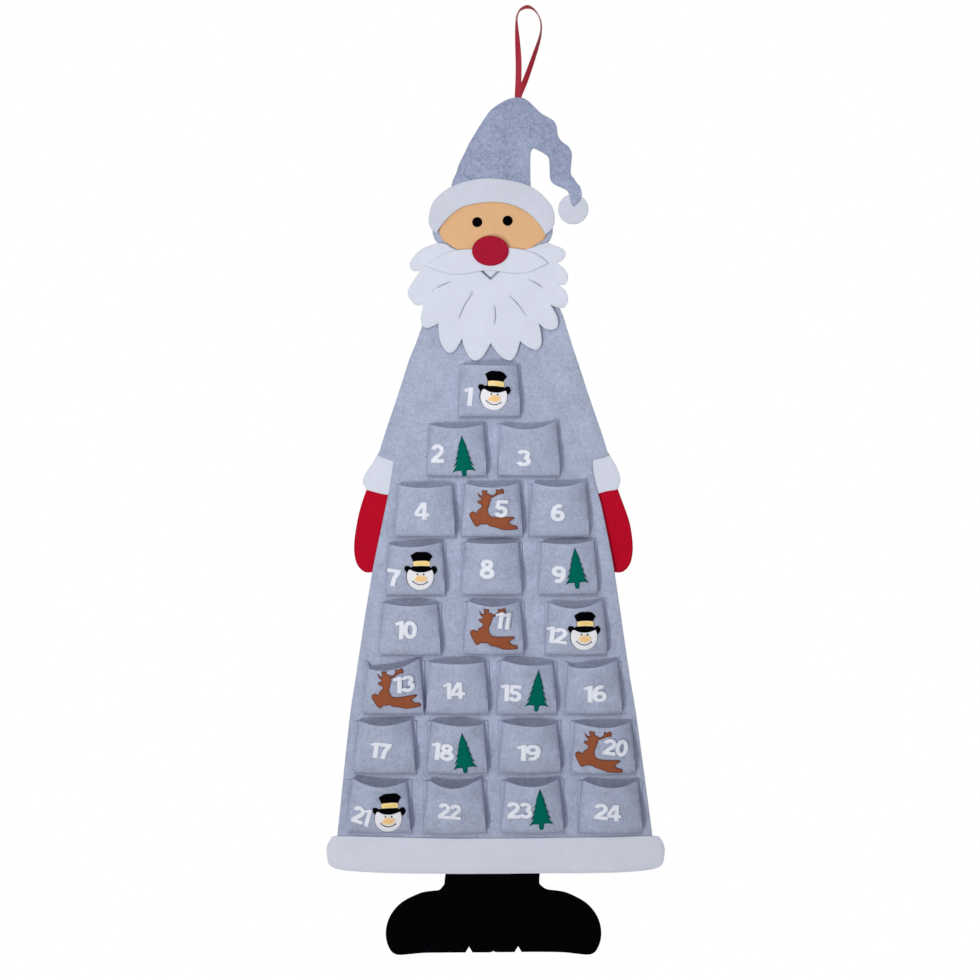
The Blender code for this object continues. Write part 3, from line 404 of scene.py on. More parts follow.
def make_studio():
    """A white surround, and a pale floor below the hanging figure."""
    world = bpy.data.worlds.new("studio")
    world.use_nodes = True
    bpy.context.scene.world = world
    sky = world.node_tree.nodes["Background"]
    set_inputs(world.node_tree, sky, {"Color": rgba(SKY), "Strength": SKY_STRENGTH})
    white_seen(world.node_tree, sky, "World Output")

    material, tree, shader = new_material("pale_floor")
    set_inputs(tree, shader, {"Base Color": rgba(FLOOR), "Roughness": 0.9})
    white_seen(tree, shader, "Material Output")
    mesh = bpy.data.meshes.new("floor")
    level = cad_bounds[0][2] - FLOOR_DROP
    signs = ((-1, -1), (1, -1), (1, 1), (-1, 1))
    mesh.from_pydata([(x * FLOOR_HALF, y * FLOOR_HALF, level) for x, y in signs], [], [(0, 1, 2, 3)])
    add_object("floor", mesh, material)


# Felt and other finishes

def wool_group():
    """Pressed wool: cloudy blotches, melange flecks and fine fibres, with a tinted band along its edges
    that partly paints the shade and highlights there.
    """
    tree = bpy.data.node_groups.new("pressed_wool", "ShaderNodeTree")
    group_socket(tree, "Place", "Vector")
    for name, grey in (("Wool", 0.5), ("Shade Wool", 0.4), ("Edge Tone", 0.3)):
        group_socket(tree, name, "Color", (grey, grey, grey, 1.0))
    for name, amount in (("Edge", 0.0), ("Cloud", 0.3), ("Fleck", 0.3)):
        group_socket(tree, name, "Float", amount)
    group_socket(tree, "Colour", "Color", way="OUTPUT")
    group_socket(tree, "Height", "Float", way="OUTPUT")
    given = new_node(tree, "NodeGroupInput").outputs
    cloud, flecks, specks, fibres = [noise_value(tree, given["Place"], *look) for look in wool_noises]
    cloudy = maths(tree, "MULTIPLY", maths(tree, "SUBTRACT", cloud, 0.5), given["Cloud"])
    mottled = weighed(tree, fleck_share, flecks, specks)
    flecked = maths(tree, "MULTIPLY", maths(tree, "SUBTRACT", mottled, 0.5), given["Fleck"])
    shade = maths(tree, "ADD", maths(tree, "ADD", cloudy, flecked), dark_wool_share, use_clamp=True)
    body = colour_mix(tree, shade, given["Wool"], given["Shade Wool"])
    new_node(tree, "NodeGroupOutput", {
        "Colour": colour_mix(tree, given["Edge"], body, given["Edge Tone"]),
        "Height": weighed(tree, fibre_share, fibres, specks),
    })
    return tree


def felt_material(name, wool, shade, edge, cloud, fleck, edge_share=plain_edge_share):
    """Felt in this colour: shade is its darker wool, and edge the tone near its edges, which is partly
    painted edge shade and highlight.
    """
    material, tree, shader = new_material(name)
    gloss, sheen = felt_glosses.get(name, plain_gloss)
    mapping = new_node(tree, "ShaderNodeMapping", {
        "Vector": new_node(tree, "ShaderNodeTexCoord").outputs["Object"],
        "Location": felt_offsets.get(name, (0.0, 0.0, 0.0)),
    })
    # How near the edge each point is: the edge tone mixed in there partly paints shade and highlight along
    # the edges.
    cut = new_node(tree, "ShaderNodeAttribute", attribute_name="edge").outputs["Fac"]
    felt = new_node(tree, "ShaderNodeGroup", {
        "Place": mapping.outputs["Vector"], "Edge": maths(tree, "MULTIPLY", cut, edge_share),
        "Wool": rgba(wool), "Shade Wool": rgba(shade), "Edge Tone": rgba(edge),
        "Cloud": cloud, "Fleck": fleck,
    }, node_tree=wool_tree)
    set_inputs(tree, shader, {
        "Base Color": felt.outputs["Colour"],
        "Normal": bump_normal(tree, felt.outputs["Height"], 0.55, 0.0005),
        "Roughness": 0.92, "Specular IOR Level": gloss, "Sheen Weight": sheen, "Sheen Roughness": 0.5,
    })
    return material


def satin_material(name):
    """Woven satin: fine ribs across the strip and a soft sheen along it, on the piece's own UV map."""
    material, tree, shader = new_material(name)
    strip = new_node(tree, "ShaderNodeUVMap", uv_map="strip").outputs["UV"]
    along = new_node(tree, "ShaderNodeSeparateXYZ", {"Vector": strip}).outputs["Y"]
    weft = maths(tree, "SINE", maths(tree, "MULTIPLY", along, RIBBON_THREADS))
    tone = maths(tree, "ADD", maths(tree, "MULTIPLY", weft, 0.12), noise_value(tree, strip, 60.0, 3.0))
    set_inputs(tree, shader, {
        "Base Color": colour_mix(tree, tone, rgba(DARK_RIBBON_RED), rgba(RIBBON_RED)),
        "Normal": bump_normal(tree, weft, 0.3, 0.0001),
        "Roughness": 0.5, "Specular IOR Level": 0.25, "Sheen Weight": 0.02,
    })
    return material


def thread_material(name, colour):
    material, tree, shader = new_material(name)
    place = new_node(tree, "ShaderNodeTexCoord").outputs["Object"]
    strands = noise_value(tree, place, 3000.0, 2.0)
    set_inputs(tree, shader, {
        "Base Color": colour_mix(tree, strands, rgba(shaded(colour, 0.8)), rgba(shaded(colour, 1.15))),
        "Normal": bump_normal(tree, strands, 0.4, 0.0001), "Roughness": 0.7,
    })
    return material


# Outlines: loops of X and Z, the outer one turning left and the holes turning right

def loop_area(loop):
    after = np.roll(loop, -1, axis=0)
    return 0.5 * float(np.sum(loop[:, 0] * after[:, 1] - after[:, 0] * loop[:, 1]))


def turned_right_way(loops):
    """The loops with the outer one first and turning left, and the holes turning right."""
    ordered = sorted(loops, key=lambda loop: -abs(loop_area(loop)))
    sides = [1] + [-1] * (len(ordered) - 1)
    return [loop if loop_area(loop) * side > 0 else loop[::-1] for loop, side in zip(ordered, sides)]


def walked(edges):
    """Closed loops of points from pairs of point numbers."""
    beside = {}
    for a, b in edges:
        beside.setdefault(a, []).append(b)
        beside.setdefault(b, []).append(a)
    loops = []
    left = set(beside)
    while left:
        start = min(left)
        loop = [start]
        left.discard(start)
        while True:
            onward = [n for n in beside[loop[-1]] if n in left]
            if not onward:
                break
            loop.append(onward[0])
            left.discard(onward[0])
        loops.append(loop)
    return loops


def turn_angles(loop):
    before = loop - np.roll(loop, 1, axis=0)
    after = np.roll(loop, -1, axis=0) - loop
    cross = before[:, 0] * after[:, 1] - before[:, 1] * after[:, 0]
    dot = np.sum(before * after, axis=1)
    return np.arctan2(cross, dot)


def left_sides(line, closed):
    """The unit vector to the left of the line at each of its points."""
    if closed:
        tangent = np.roll(line, -1, axis=0) - np.roll(line, 1, axis=0)
    else:
        tangent = np.gradient(line, axis=0)
    tangent /= np.maximum(np.linalg.norm(tangent, axis=1), TINY)[:, None]
    return np.stack((-tangent[:, 1], tangent[:, 0]), axis=1)


def moved_inward(loop, distance):
    """The loop moved this far into the felt, and out of it where the distance is negative."""
    spread = 1 / np.maximum(np.cos(0.5 * turn_angles(loop)), 0.5)
    return loop + left_sides(loop, True) * (distance * spread)[:, None]


def rounded_loop(loop):
    """The loop with smooth curves between its corners."""
    straight = math.radians(0.5)
    loop = loop[np.abs(turn_angles(loop)) > straight]
    corner = np.abs(turn_angles(loop)) > math.radians(CORNER_DEGREES)
    count = len(loop)
    out = []
    for i in range(count):
        start, end = loop[i], loop[(i + 1) % count]
        before = start if corner[i] else loop[i - 1]
        after = end if corner[(i + 1) % count] else loop[(i + 2) % count]
        reach = np.linalg.norm(end - start)
        slopes = []
        for near, far, here in ((before, end, start), (start, after, end)):
            gap = np.linalg.norm(far - near)
            slopes.append((far - near) / max(gap, TINY) * reach if gap else np.zeros(2))
        for step in range(CURVE_STEPS):
            t = step / CURVE_STEPS
            out.append((2 * t**3 - 3 * t**2 + 1) * start + (t**3 - 2 * t**2 + t) * slopes[0]
                       + (3 * t**2 - 2 * t**3) * end + (t**3 - t**2) * slopes[1])
    return np.array(out)


def solid_loops(node):
    """The outline of a solid's front face and of the cuts through it."""
    builder = bmesh.new()
    builder.from_mesh(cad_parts[node].data)
    bmesh.ops.remove_doubles(builder, verts=builder.verts, dist=WELD)
    builder.normal_update()
    front_facing = -0.5
    edges = []
    for edge in builder.edges:
        fronts = sum(face.normal.y < front_facing for face in edge.link_faces)
        if fronts == 1:
            edges.append((edge.verts[0].index, edge.verts[1].index))
    builder.verts.ensure_lookup_table()
    loops = []
    for loop in walked(edges):
        loops.append(np.array([(builder.verts[n].co.x, builder.verts[n].co.z) for n in loop]))
    builder.free()
    return [rounded_loop(loop) for loop in turned_right_way(loops)]


def inside(points, loops):
    """Which points lie within the loops, by the even-odd rule."""
    hit = np.zeros(len(points), bool)
    x, z = points[:, 0], points[:, 1]
    for loop in loops:
        for (ax, az), (bx, bz) in zip(loop, np.roll(loop, -1, axis=0)):
            if az == bz:
                continue
            crosses = (az > z) != (bz > z)
            hit ^= crosses & (x < (bx - ax) * (z - az) / (bz - az) + ax)
    return hit


def outline_tree(loops, spacing=0.0005):
    """A search tree of points all along the loops."""
    points = []
    for loop in loops:
        for a, b in zip(loop, np.roll(loop, -1, axis=0)):
            steps = max(1, math.ceil(np.linalg.norm(b - a) / spacing))
            points += [a + (b - a) * step / steps for step in range(steps)]
    tree = kdtree.KDTree(len(points))
    for number, (x, z) in enumerate(points):
        tree.insert((x, 0.0, z), number)
    tree.balance()
    return tree


def rim_points(loops, distance, tree):
    """Points all along the loops, this far into the felt, where the felt is wide enough for them."""
    close_share = 0.8
    points = []
    for loop in loops:
        for x, z in moved_inward(loop, distance):
            if tree.find((x, 0.0, z))[2] > close_share * distance:
                points.append((x, z))
    points = np.array(points).reshape(-1, 2)
    return points[inside(points, loops)]


def hex_points(loops, spacing):
    """Evenly spread points within the loops."""
    low = loops[0].min(axis=0)
    high = loops[0].max(axis=0)
    row_drop = spacing * math.sqrt(0.75)
    rows = int((high[1] - low[1]) / row_drop) + 1
    columns = int((high[0] - low[0]) / spacing) + 2
    points = np.array([(low[0] + (column - 0.5 * (row % 2)) * spacing, low[1] + row * row_drop)
                       for row in range(rows) for column in range(columns)])
    return points[inside(points, loops)]


def finish_mesh(mesh, sharp_degrees=50.0, weld=0.0):
    """Points that meet are joined, normals face out, and all but sharp edges are shaded smooth."""
    builder = bmesh.new()
    builder.from_mesh(mesh)
    if weld:
        bmesh.ops.remove_doubles(builder, verts=builder.verts, dist=weld)
        holes = [edge for edge in builder.edges if edge.is_boundary]
        bmesh.ops.holes_fill(builder, edges=holes, sides=8)
    bmesh.ops.recalc_face_normals(builder, faces=builder.faces)
    builder.to_mesh(mesh)
    builder.free()
    mesh.shade_smooth()
    mesh.set_sharp_from_angle(angle=math.radians(sharp_degrees))


def felt_mesh(name, verts, faces, edge_values):
    """A mesh that knows at each point how near the cut edge of the felt is."""
    mesh = bpy.data.meshes.new(name)
    mesh.from_pydata(verts, [], faces)
    mesh.attributes.new("edge", "FLOAT", "POINT").data.foreach_set("value", edge_values)
    return mesh


def felt_sheet(name, loops, back, thickness, spacing, material, edge_round=EDGE_ROUND):
    """A closed sheet of felt with rounded edges. back(x, z) is the Y of its back face."""
    loops = [loop[np.linalg.norm(loop - np.roll(loop, 1, axis=0), axis=1) > SHORTEST_STEP]
             for loop in loops]
    tree = outline_tree(loops)
    edge_round = min(edge_round, edge_limit_share * thickness)
    grid = hex_points(loops, spacing)
    clear = [tree.find((x, 0.0, z))[2] > max(0.5 * spacing, 2 * edge_round) for x, z in grid]
    grid = grid[np.array(clear, bool)] if len(grid) else grid
    rims = [rim_points(loops, share * edge_round, tree) for share in rim_shares]
    given = np.concatenate((*loops, *rims, grid.reshape(-1, 2)))
    edges = []
    first = 0
    for loop in loops:
        edges += [(first + i, first + (i + 1) % len(loop)) for i in range(len(loop))]
        first += len(loop)
    found, _, triangles, _, _, _ = geometry.delaunay_2d_cdt([Vector(p) for p in given], edges, [], 0, 1e-7)
    places = np.array([tuple(point) for point in found])
    middles = np.array([places[list(face)].mean(axis=0) for face in triangles])
    kept = [list(face) for face, keep in zip(triangles, inside(middles, loops)) if keep]
    distances = [tree.find((x, 0.0, z))[2] for x, z in places]
    count = len(places)
    verts = []
    for way in (1, -1):
        for (x, z), distance in zip(places, distances):
            short = 1 - min(distance / edge_round, 1.0)
            drop = edge_round * (1 - math.sqrt(1 - short * short))
            rear = back(x, z)
            verts.append((x, rear - thickness + drop if way > 0 else rear - drop, z))
    faces = kept + [[n + count for n in face[::-1]] for face in kept]
    steps = {(a, b) for face in kept for a, b in zip(face, face[1:] + face[:1])}
    faces += [[a, a + count, b + count, b] for a, b in steps if (b, a) not in steps]
    used = sorted({n for face in faces for n in face})
    renumbered = {n: i for i, n in enumerate(used)}
    edge_values = [1 - smoothstep(0.0, EDGE_BAND, distance) for distance in distances] * 2
    mesh = felt_mesh(name, [verts[n] for n in used], [[renumbered[n] for n in face] for face in faces],
                     [edge_values[n] for n in used])
    finish_mesh(mesh)
    return add_object(name, mesh, material)


def dress(piece, node=None):
    """The piece is part of the figure, and takes the place of its solid where it has one."""
    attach(piece, "figure")
    if node:
        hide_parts(node)


def declare_felt(loops):
    """Measures the size the piece was cut to, and stops early where it is a scrap; nothing is done with
    the size.
    """
    width, length = loops[0].max(axis=0) - loops[0].min(axis=0)
    if min(width, length) < SMALLEST_SHEET:
        return


# How the figure hangs

# How far down it starts to wave, and waves in full
HANG_START = 0.12
HANG_FULL = 0.4
# Waves in the noise: scale across, place and scale down
broad_wave_scales = (7.0, 3.7, 3.2)
fine_wave_scales = (24.0, 9.1, 17.0)
curl_scales = (55.0, 1.3, 55.0)
# Where free ends start on their pieces, and where they are at their freest
beard_free_shares = (0.55, 1.15)
moustache_free_shares = (0.6, 1.0)
brim_free_shares = (0.7, 1.0)
boots_free_shares = (0.3, 1.0)
tail_start_share = 0.68
TAIL_TOP = -0.13
TAIL_TIP = -0.2


def wave(x, z, scales):
    return noise.noise(Vector((x * scales[0], scales[1], z * scales[2])))


def drape(x, z):
    """How far the whole hanging stands off its flat plane there, nothing at the top of the hat."""
    hung = smoothstep(HANG_START, HANG_FULL, -z)
    return -hung * (BROAD_WAVE * wave(x, z, broad_wave_scales) + FINE_WAVE * wave(x, z, fine_wave_scales))


def box_place(node, x, z):
    """Where this is in a node's box: across from -1 to 1, and down from 0 to 1."""
    low, high = boxes[node]
    middle = 0.5 * (low.x + high.x)
    return (x - middle) / (high.x - middle), (high.z - z) / (high.z - low.z)


def beard_lift(x, z):
    """The beard's curls stand off the robe towards their tips."""
    across, down = box_place("beard", x, z)
    away = math.hypot(across, 0.9 * down)
    return BEARD_LIFT * smoothstep(*beard_free_shares, away) * (0.75 + 0.5 * wave(x, z, curl_scales))


def moustache_lift(x, z):
    """The moustache and the nose lie on the beard, and the moustache's ends stand off a little more."""
    across = abs(box_place("moustache", x, z)[0])
    return beard_lift(x, z) + MOUSTACHE_LIFT * smoothstep(*moustache_free_shares, across)


def brim_lift(x, z):
    return BRIM_LIFT * smoothstep(*brim_free_shares, abs(box_place("hat_brim", x, z)[0]))


def tail_lift(x, z):
    """The hat's tail hangs free of the head and swings a little forward."""
    low, high = boxes["hat"]
    start = mixed(low.x, high.x, tail_start_share)
    return TAIL_LIFT * smoothstep(start, high.x, x) * smoothstep(TAIL_TOP, TAIL_TIP, z)


def mitten_lift(x, z):
    """The mittens hang back from the robe towards their tips."""
    return -MITTEN_LIFT * box_place("mitten_left", x, z)[1] ** 2


def boots_lift(x, z):
    across, down = box_place("boots", x, z)
    return BOOT_LIFT * smoothstep(*boots_free_shares, down) * abs(across)


lifts = {"beard": beard_lift, "moustache": moustache_lift, "nose": moustache_lift, "hat_brim": brim_lift,
         "hat": tail_lift, "pompom": tail_lift, "mitten_left": mitten_lift,
         "mitten_right": mitten_lift, "boots": boots_lift}


def layer_back(node):
    """A function of X and Z that gives the Y of a layer's back as it hangs."""
    level = boxes[node][1].y

    def back(x, z):
        lift = lifts[node](x, z) if node in lifts else 0.0
        return level + drape(x, z) - lift

    return back


# Felt layers of the figure

def node_felt(node):
    low, high = boxes[node]
    return high.y - low.y


def slit_loop(pixels):
    """The outline of one curved cut with pointed ends."""
    line = np.array(curve_points([frame_point(pixel) for pixel in pixels], SLIT_STEPS))
    half = SLIT_HALF * np.sqrt(np.sin(np.linspace(0.0, math.pi, len(line))).clip(0.0))[:, None]
    aside = left_sides(line, False) * half
    return np.concatenate((line + aside, (line - aside)[-2:0:-1]))


def split_sides(loop):
    """The outline with more points along its long straight sides."""
    out = []
    for point, after in zip(loop, np.roll(loop, -1, axis=0)):
        steps = max(1, math.ceil(np.linalg.norm(after - point) / LONGEST_SIDE))
        out += [mixed(point, after, k / steps) for k in range(steps)]
    return np.array(out)


def softened(loop, rounds):
    """The outline with its corners rounded off."""
    for _ in range(rounds):
        loop = 0.25 * (np.roll(loop, 1, axis=0) + 2 * loop + np.roll(loop, -1, axis=0))
    return loop


def nudged(loop, nudges):
    out = split_sides(loop)
    for place, reach, way in nudges:
        off = (out - frame_point(place)) / (np.array(reach) * PIXEL)
        share = (1 - (off**2).sum(axis=1)).clip(0.0)**2
        out = out + share[:, None] * np.array((way[0], -way[1])) * PIXEL
    return out


def layer_loops(node):
    """A layer's outline, with the beard's cuts and the hat's tucked corner as they were cut."""
    loops = solid_loops(node)
    if node in outline_nudges:
        loops = [nudged(loop, outline_nudges[node]) for loop in loops]
    if node in soft_corner_rounds:
        loops = [softened(loop, soft_corner_rounds[node]) for loop in loops]
    if node in ("eye_left", "eye_right"):
        loops = [moved_inward(loop, -EYE_GROWTH) for loop in loops]
    if node == "beard":
        slits = [slit_loop(pixels) for pixels in slit_pixels]
        middles = [slit.mean(axis=0) for slit in slits]
        near = 0.006
        others = [moved_inward(loop, MOUTH_CUT_GROWTH) for loop in loops[1:]
                  if min(np.linalg.norm(loop.mean(axis=0) - middle) for middle in middles) > near]
        return turned_right_way([loops[0], *others, *slits])
    if node == "hat":
        brim = boxes["hat_brim"]
        corner = max(x for x, z in loops[0] if z < brim[1].z + 0.5 * HAT_TUCK and x < 0.5 * HAT_TUCK)
        for point in loops[0]:
            if point[1] < brim[1].z + HAT_TUCK and point[0] <= corner:
                point[1] -= HAT_TUCK * smoothstep(corner - TUCK_REACH, corner, point[0])
    return loops


def make_layers():
    """Every flat layer, from the robe that carries them all to the nose."""
    # How far apart a layer's points are, its felt, how it is held and what it rests on
    layers = {
        "robe_panel": (0.008, "grey_felt", "hung", ()),
        "hat": (0.005, "hat_felt", "hung", ("robe_panel",)),
        "pompom": (0.003, "brim_felt", "hung", ("hat",)),
        "hat_brim": (0.004, "brim_felt", "laid", ("hat",)),
        "face": (0.004, "peach_felt", "laid", ("robe_panel",)),
        "eye_left": (0.0015, "black_felt", "laid", ("face",)),
        "eye_right": (0.0015, "black_felt", "laid", ("face",)),
        "beard": (0.004, "white_felt", "laid", ("robe_panel",)),
        "moustache": (0.003, "white_felt", "laid", ("beard",)),
        "nose": (0.003, "dark_red_felt", "laid", ("moustache",)),
        "cuff_left": (0.004, "white_felt", "hung", ("robe_panel",)),
        "cuff_right": (0.004, "white_felt", "hung", ("robe_panel",)),
        "mitten_left": (0.004, "red_felt", "hung", ("cuff_left",)),
        "mitten_right": (0.004, "red_felt", "hung", ("cuff_right",)),
        "hem_band": (0.006, "white_felt", "laid", ("robe_panel",)),
        "boots": (0.005, "black_felt", "hung", ("robe_panel",)),
    }
    for node, (spacing, wool, held, rests_on) in layers.items():
        loops = layer_loops(node)
        piece = felt_sheet(node + "_cloth", loops, layer_back(node), node_felt(node), spacing,
                           materials[wool], edge_rounds.get(node, EDGE_ROUND))
        dress(piece, node)
        declare_felt(loops)


# Pockets

class Pocket:
    """A box pocket: side flanges, gussets, a bowed front with a sagging mouth, a floor and its flange."""

    flange_shares = (0.0, 0.2, 0.5, 0.8)
    gusset_shares = (0.08, 0.28, 0.52, 0.78)
    front_columns = 15
    # Height above the floor and how far out the felt is there, a share of the full depth
    floor_rows = (
        (0.0, 0.05), (0.0004, 0.22), (0.0009, 0.45), (0.0013, 0.66), (0.0022, 0.79), (0.004, 0.88),
        (0.007, 0.945), (0.0115, 0.985),
    )
    wall_rows = 9

    def __init__(self, number):
        low, high = boxes[f"pocket_{number:02d}"]
        self.node = f"pocket_{number:02d}"
        self.centre = 0.5 * (low.x + high.x) + pocket_shifts.get(number, 0.0) * PIXEL
        self.width = high.x - low.x
        self.bottom = low.z
        self.height = high.z - low.z
        self.back = high.y
        self.half_foot = 0.5 * self.width - POCKET_FLANGE
        self.half_front = self.half_foot - 0.5 * FELT
        self.floor = low.z + POCKET_FLOOR_FLANGE
        self.rise = self.height - POCKET_FLOOR_FLANGE
        self.rim = [drop * PIXEL for drop in pocket_rims[number]]
        upper, lower = boxes["pocket_01"][0].z, boxes["pocket_24"][0].z
        down = (low.z - upper) / (lower - upper)
        self.fold_drop = mixed(UPPER_FOLD_DROP, LOWER_FOLD_DROP, down)
        self.mouth_draw = mixed(UPPER_MOUTH_DRAW, LOWER_MOUTH_DRAW, down)
        chance = random.Random(number)
        self.seed = chance.uniform(0.0, 50.0)
        self.lean = chance.uniform(-0.12, 0.12)

    def bow(self, share, up):
        """How far the front stands out there; share runs from -1 to 1 across it."""
        most = POCKET_BOW + MOUTH_BOW * smoothstep(mouth_start_share, 1.0, up)
        return most * (1 - share * share) * (1 + self.lean * share)

    def side_reach(self, up):
        """How far out the front's side edges are: they draw back to the robe at the mouth."""
        return POCKET_DEPTH + POCKET_SLOPE * up - CORNER_DRAW * smoothstep(mouth_start_share, 1.0, up)

    def front_half(self, up, out):
        """Half the front's width: the foot spreads over the flanges, and the mouth draws in."""
        return self.half_front + out * mixed(POCKET_FLARE, -self.mouth_draw, up**MOUTH_DRAW_POWER)

    def dent(self, share, up):
        """Small unevenness of the front, none at its edges."""
        free = (1 - share * share) * smoothstep(0.0, 0.25, up)
        return POCKET_DENT * free * noise.noise(Vector((share * 2.2 + self.seed, up * 2.6, self.seed)))

    def front_depth(self, x, z):
        """How far out from the pocket's back the front's outer face is, with the sag left out."""
        rise = max(z - self.floor, 0.0)
        rise = max(rise + self.fold_drop * (1 - smoothstep(0.0, fold_share, rise / self.rise)), 0.0)
        half = self.front_half(rise / self.rise, 1.0)
        share = max(-1.0, min(1.0, (x - self.centre) / half))
        levels = [(-POCKET_FLOOR_FLANGE, 0.0), *self.floor_rows, (FULL_REACH_RISE, 1.0),
                  (self.rise * 1.1, 1.0)]
        out = 1.0
        for (low, start), (high, end) in zip(levels, levels[1:]):
            if rise <= high:
                out = start + (end - start) * (rise - low) / (high - low)
                break
        up = rise / self.rise
        return out * (self.side_reach(up) + self.bow(share, up)) + self.dent(share, up)

    def front_y(self, x, z):
        return self.back - self.front_depth(x, z) + drape(x, z)

    def mouth_drop(self, share):
        """How far the mouth's edge hangs below the pocket's top there."""
        left, middle, right = self.rim
        return middle * (1 - share * share) + 0.5 * share * ((share - 1) * left + (share + 1) * right)

    def skin(self, inset):
        """Rows of points from the floor's flange to the mouth: inset 0 is the outside."""
        flat = self.back - FELT + inset
        foot = self.half_foot - inset
        rows = [(-POCKET_FLOOR_FLANGE, 0.0), (-0.5 * POCKET_FLOOR_FLANGE, 0.0), (-0.0006, 0.0)]
        rows += list(self.floor_rows)
        start = self.floor_rows[-1][0]
        rows += [(start + (self.rise - start) * (k + 1) / self.wall_rows, 1.0)
                 for k in range(self.wall_rows)]
        grid = []
        for above_floor, out in rows:
            up = max(above_floor, 0.0) / self.rise
            lift = inset * smoothstep(0.0, 0.6, out) * (1 - smoothstep(0.85, 1.0, out))
            lower = out * self.fold_drop * (1 - smoothstep(0.0, fold_share, up))
            z = self.floor + above_floor + lift - lower
            side = [(mixed(0.5 * self.width, foot, share), flat, 0.0) for share in self.flange_shares]
            reach = out * self.side_reach(up)
            front = self.front_half(up, out) - inset
            for share in self.gusset_shares:
                y = flat - (reach - FELT) * share if out else flat
                side.append((mixed(foot, front + 0.5 * FELT, out * share), y, share))
            ends = [self.mouth_drop(way) * up**MOUTH_FALL_POWER for way in (-1, 1)]
            left = [(-x, y, share * ends[0]) for x, y, share in side]
            right = [(x, y, share * ends[1]) for x, y, share in side]
            for column in range(self.front_columns):
                share = -1 + 2 * column / (self.front_columns - 1)
                depth = reach + out * self.bow(share, up) + (self.dent(share, up) if out else 0.0)
                y = self.back - max(depth - inset, 0.0) if out else flat
                y = min(y, flat)
                fall = self.mouth_drop(share) * up**MOUTH_FALL_POWER
                left.append((share * front, y, fall))
            grid.append([(self.centre + x, y + drape(self.centre + x, z), z - fall)
                         for x, y, fall in left + right[::-1]])
        return grid

    def build(self):
        grids = self.skin(0.0), self.skin(FELT)
        verts = []
        numbers = []
        for grid in grids:
            numbers.append([[len(verts) + r * len(row) + c for c in range(len(row))]
                            for r, row in enumerate(grid)])
            verts += [point for row in grid for point in row]
        faces = []
        for grid in numbers:
            for row, above in zip(grid, grid[1:]):
                faces += [list(quad) for quad in zip(row, row[1:], above[1:], above)]
        # The cut edges: the floor flange's, the mouth's and the two sides', each a little rounded
        outer, inner = numbers
        swell = 0.25 * FELT
        rims = [(outer[end], inner[end], (0.0, 0.0, way)) for end, way in ((0, -swell), (-1, swell))]
        rims += [([row[end] for row in outer], [row[end] for row in inner], (way, 0.0, 0.0))
                 for end, way in ((0, -swell), (-1, swell))]
        rim_verts = set()
        for near, far, swells in rims:
            middle = []
            for a, b in zip(near, far):
                middle.append(len(verts))
                verts.append(tuple(0.5 * (p + q) + way for p, q, way in zip(verts[a], verts[b], swells)))
            rim_verts.update(near, far, middle)
            for start, end in ((near, middle), (middle, far)):
                faces += [list(quad) for quad in zip(start, start[1:], end[1:], end)]
        edge_values = [1.0 if n in rim_verts else 0.0 for n in range(len(verts))]
        mesh = felt_mesh(self.node + "_felt", verts, faces, edge_values)
        finish_mesh(mesh, POCKET_SHARP_DEGREES, WELD)
        piece = add_object(self.node + "_felt", mesh, materials["pocket_felt"])
        dress(piece, self.node)

    def seams(self):
        """Where the thread runs on the three flanges."""
        y = self.back - FELT - SEAM_RISE
        side = 0.5 * self.width - seam_share * POCKET_FLANGE
        low = self.bottom + seam_share * POCKET_FLOOR_FLANGE
        top = self.bottom + self.height - SEAM_TOP_DROP
        runs = []
        for way in (-1, 1):
            runs.append([(self.centre + way * side, low + (top - low) * k / 12) for k in range(13)])
        runs.append([(self.centre + side * (k / 7 - 1), low) for k in range(15)])
        return [[(x, y + drape(x, z), z) for x, z in run] for run in runs]


# Appliques and numbers

def applique_sheet(name, pocket, loops, felt, node=None, under=0.0, thickness=THIN_FELT,
                   spacing=0.002):
    """A sheet of felt on a pocket's front, bent as the front is, with this much felt under it."""

    def back(x, z):
        return pocket.front_y(x, z) - under - LAYER_GAP

    piece = felt_sheet(name, loops, back, thickness, spacing, materials[felt], APPLIQUE_ROUND)
    dress(piece, node)
    declare_felt(loops)


def arc(centre, radii, start, end, step=12.0):
    """Points on an ellipse from one angle to another, in degrees."""
    count = max(2, math.ceil(abs(end - start) / step))
    angles = [math.radians(start + (end - start) * k / count) for k in range(count + 1)]
    return [(centre[0] + radii[0] * math.cos(a), centre[1] + radii[1] * math.sin(a)) for a in angles]


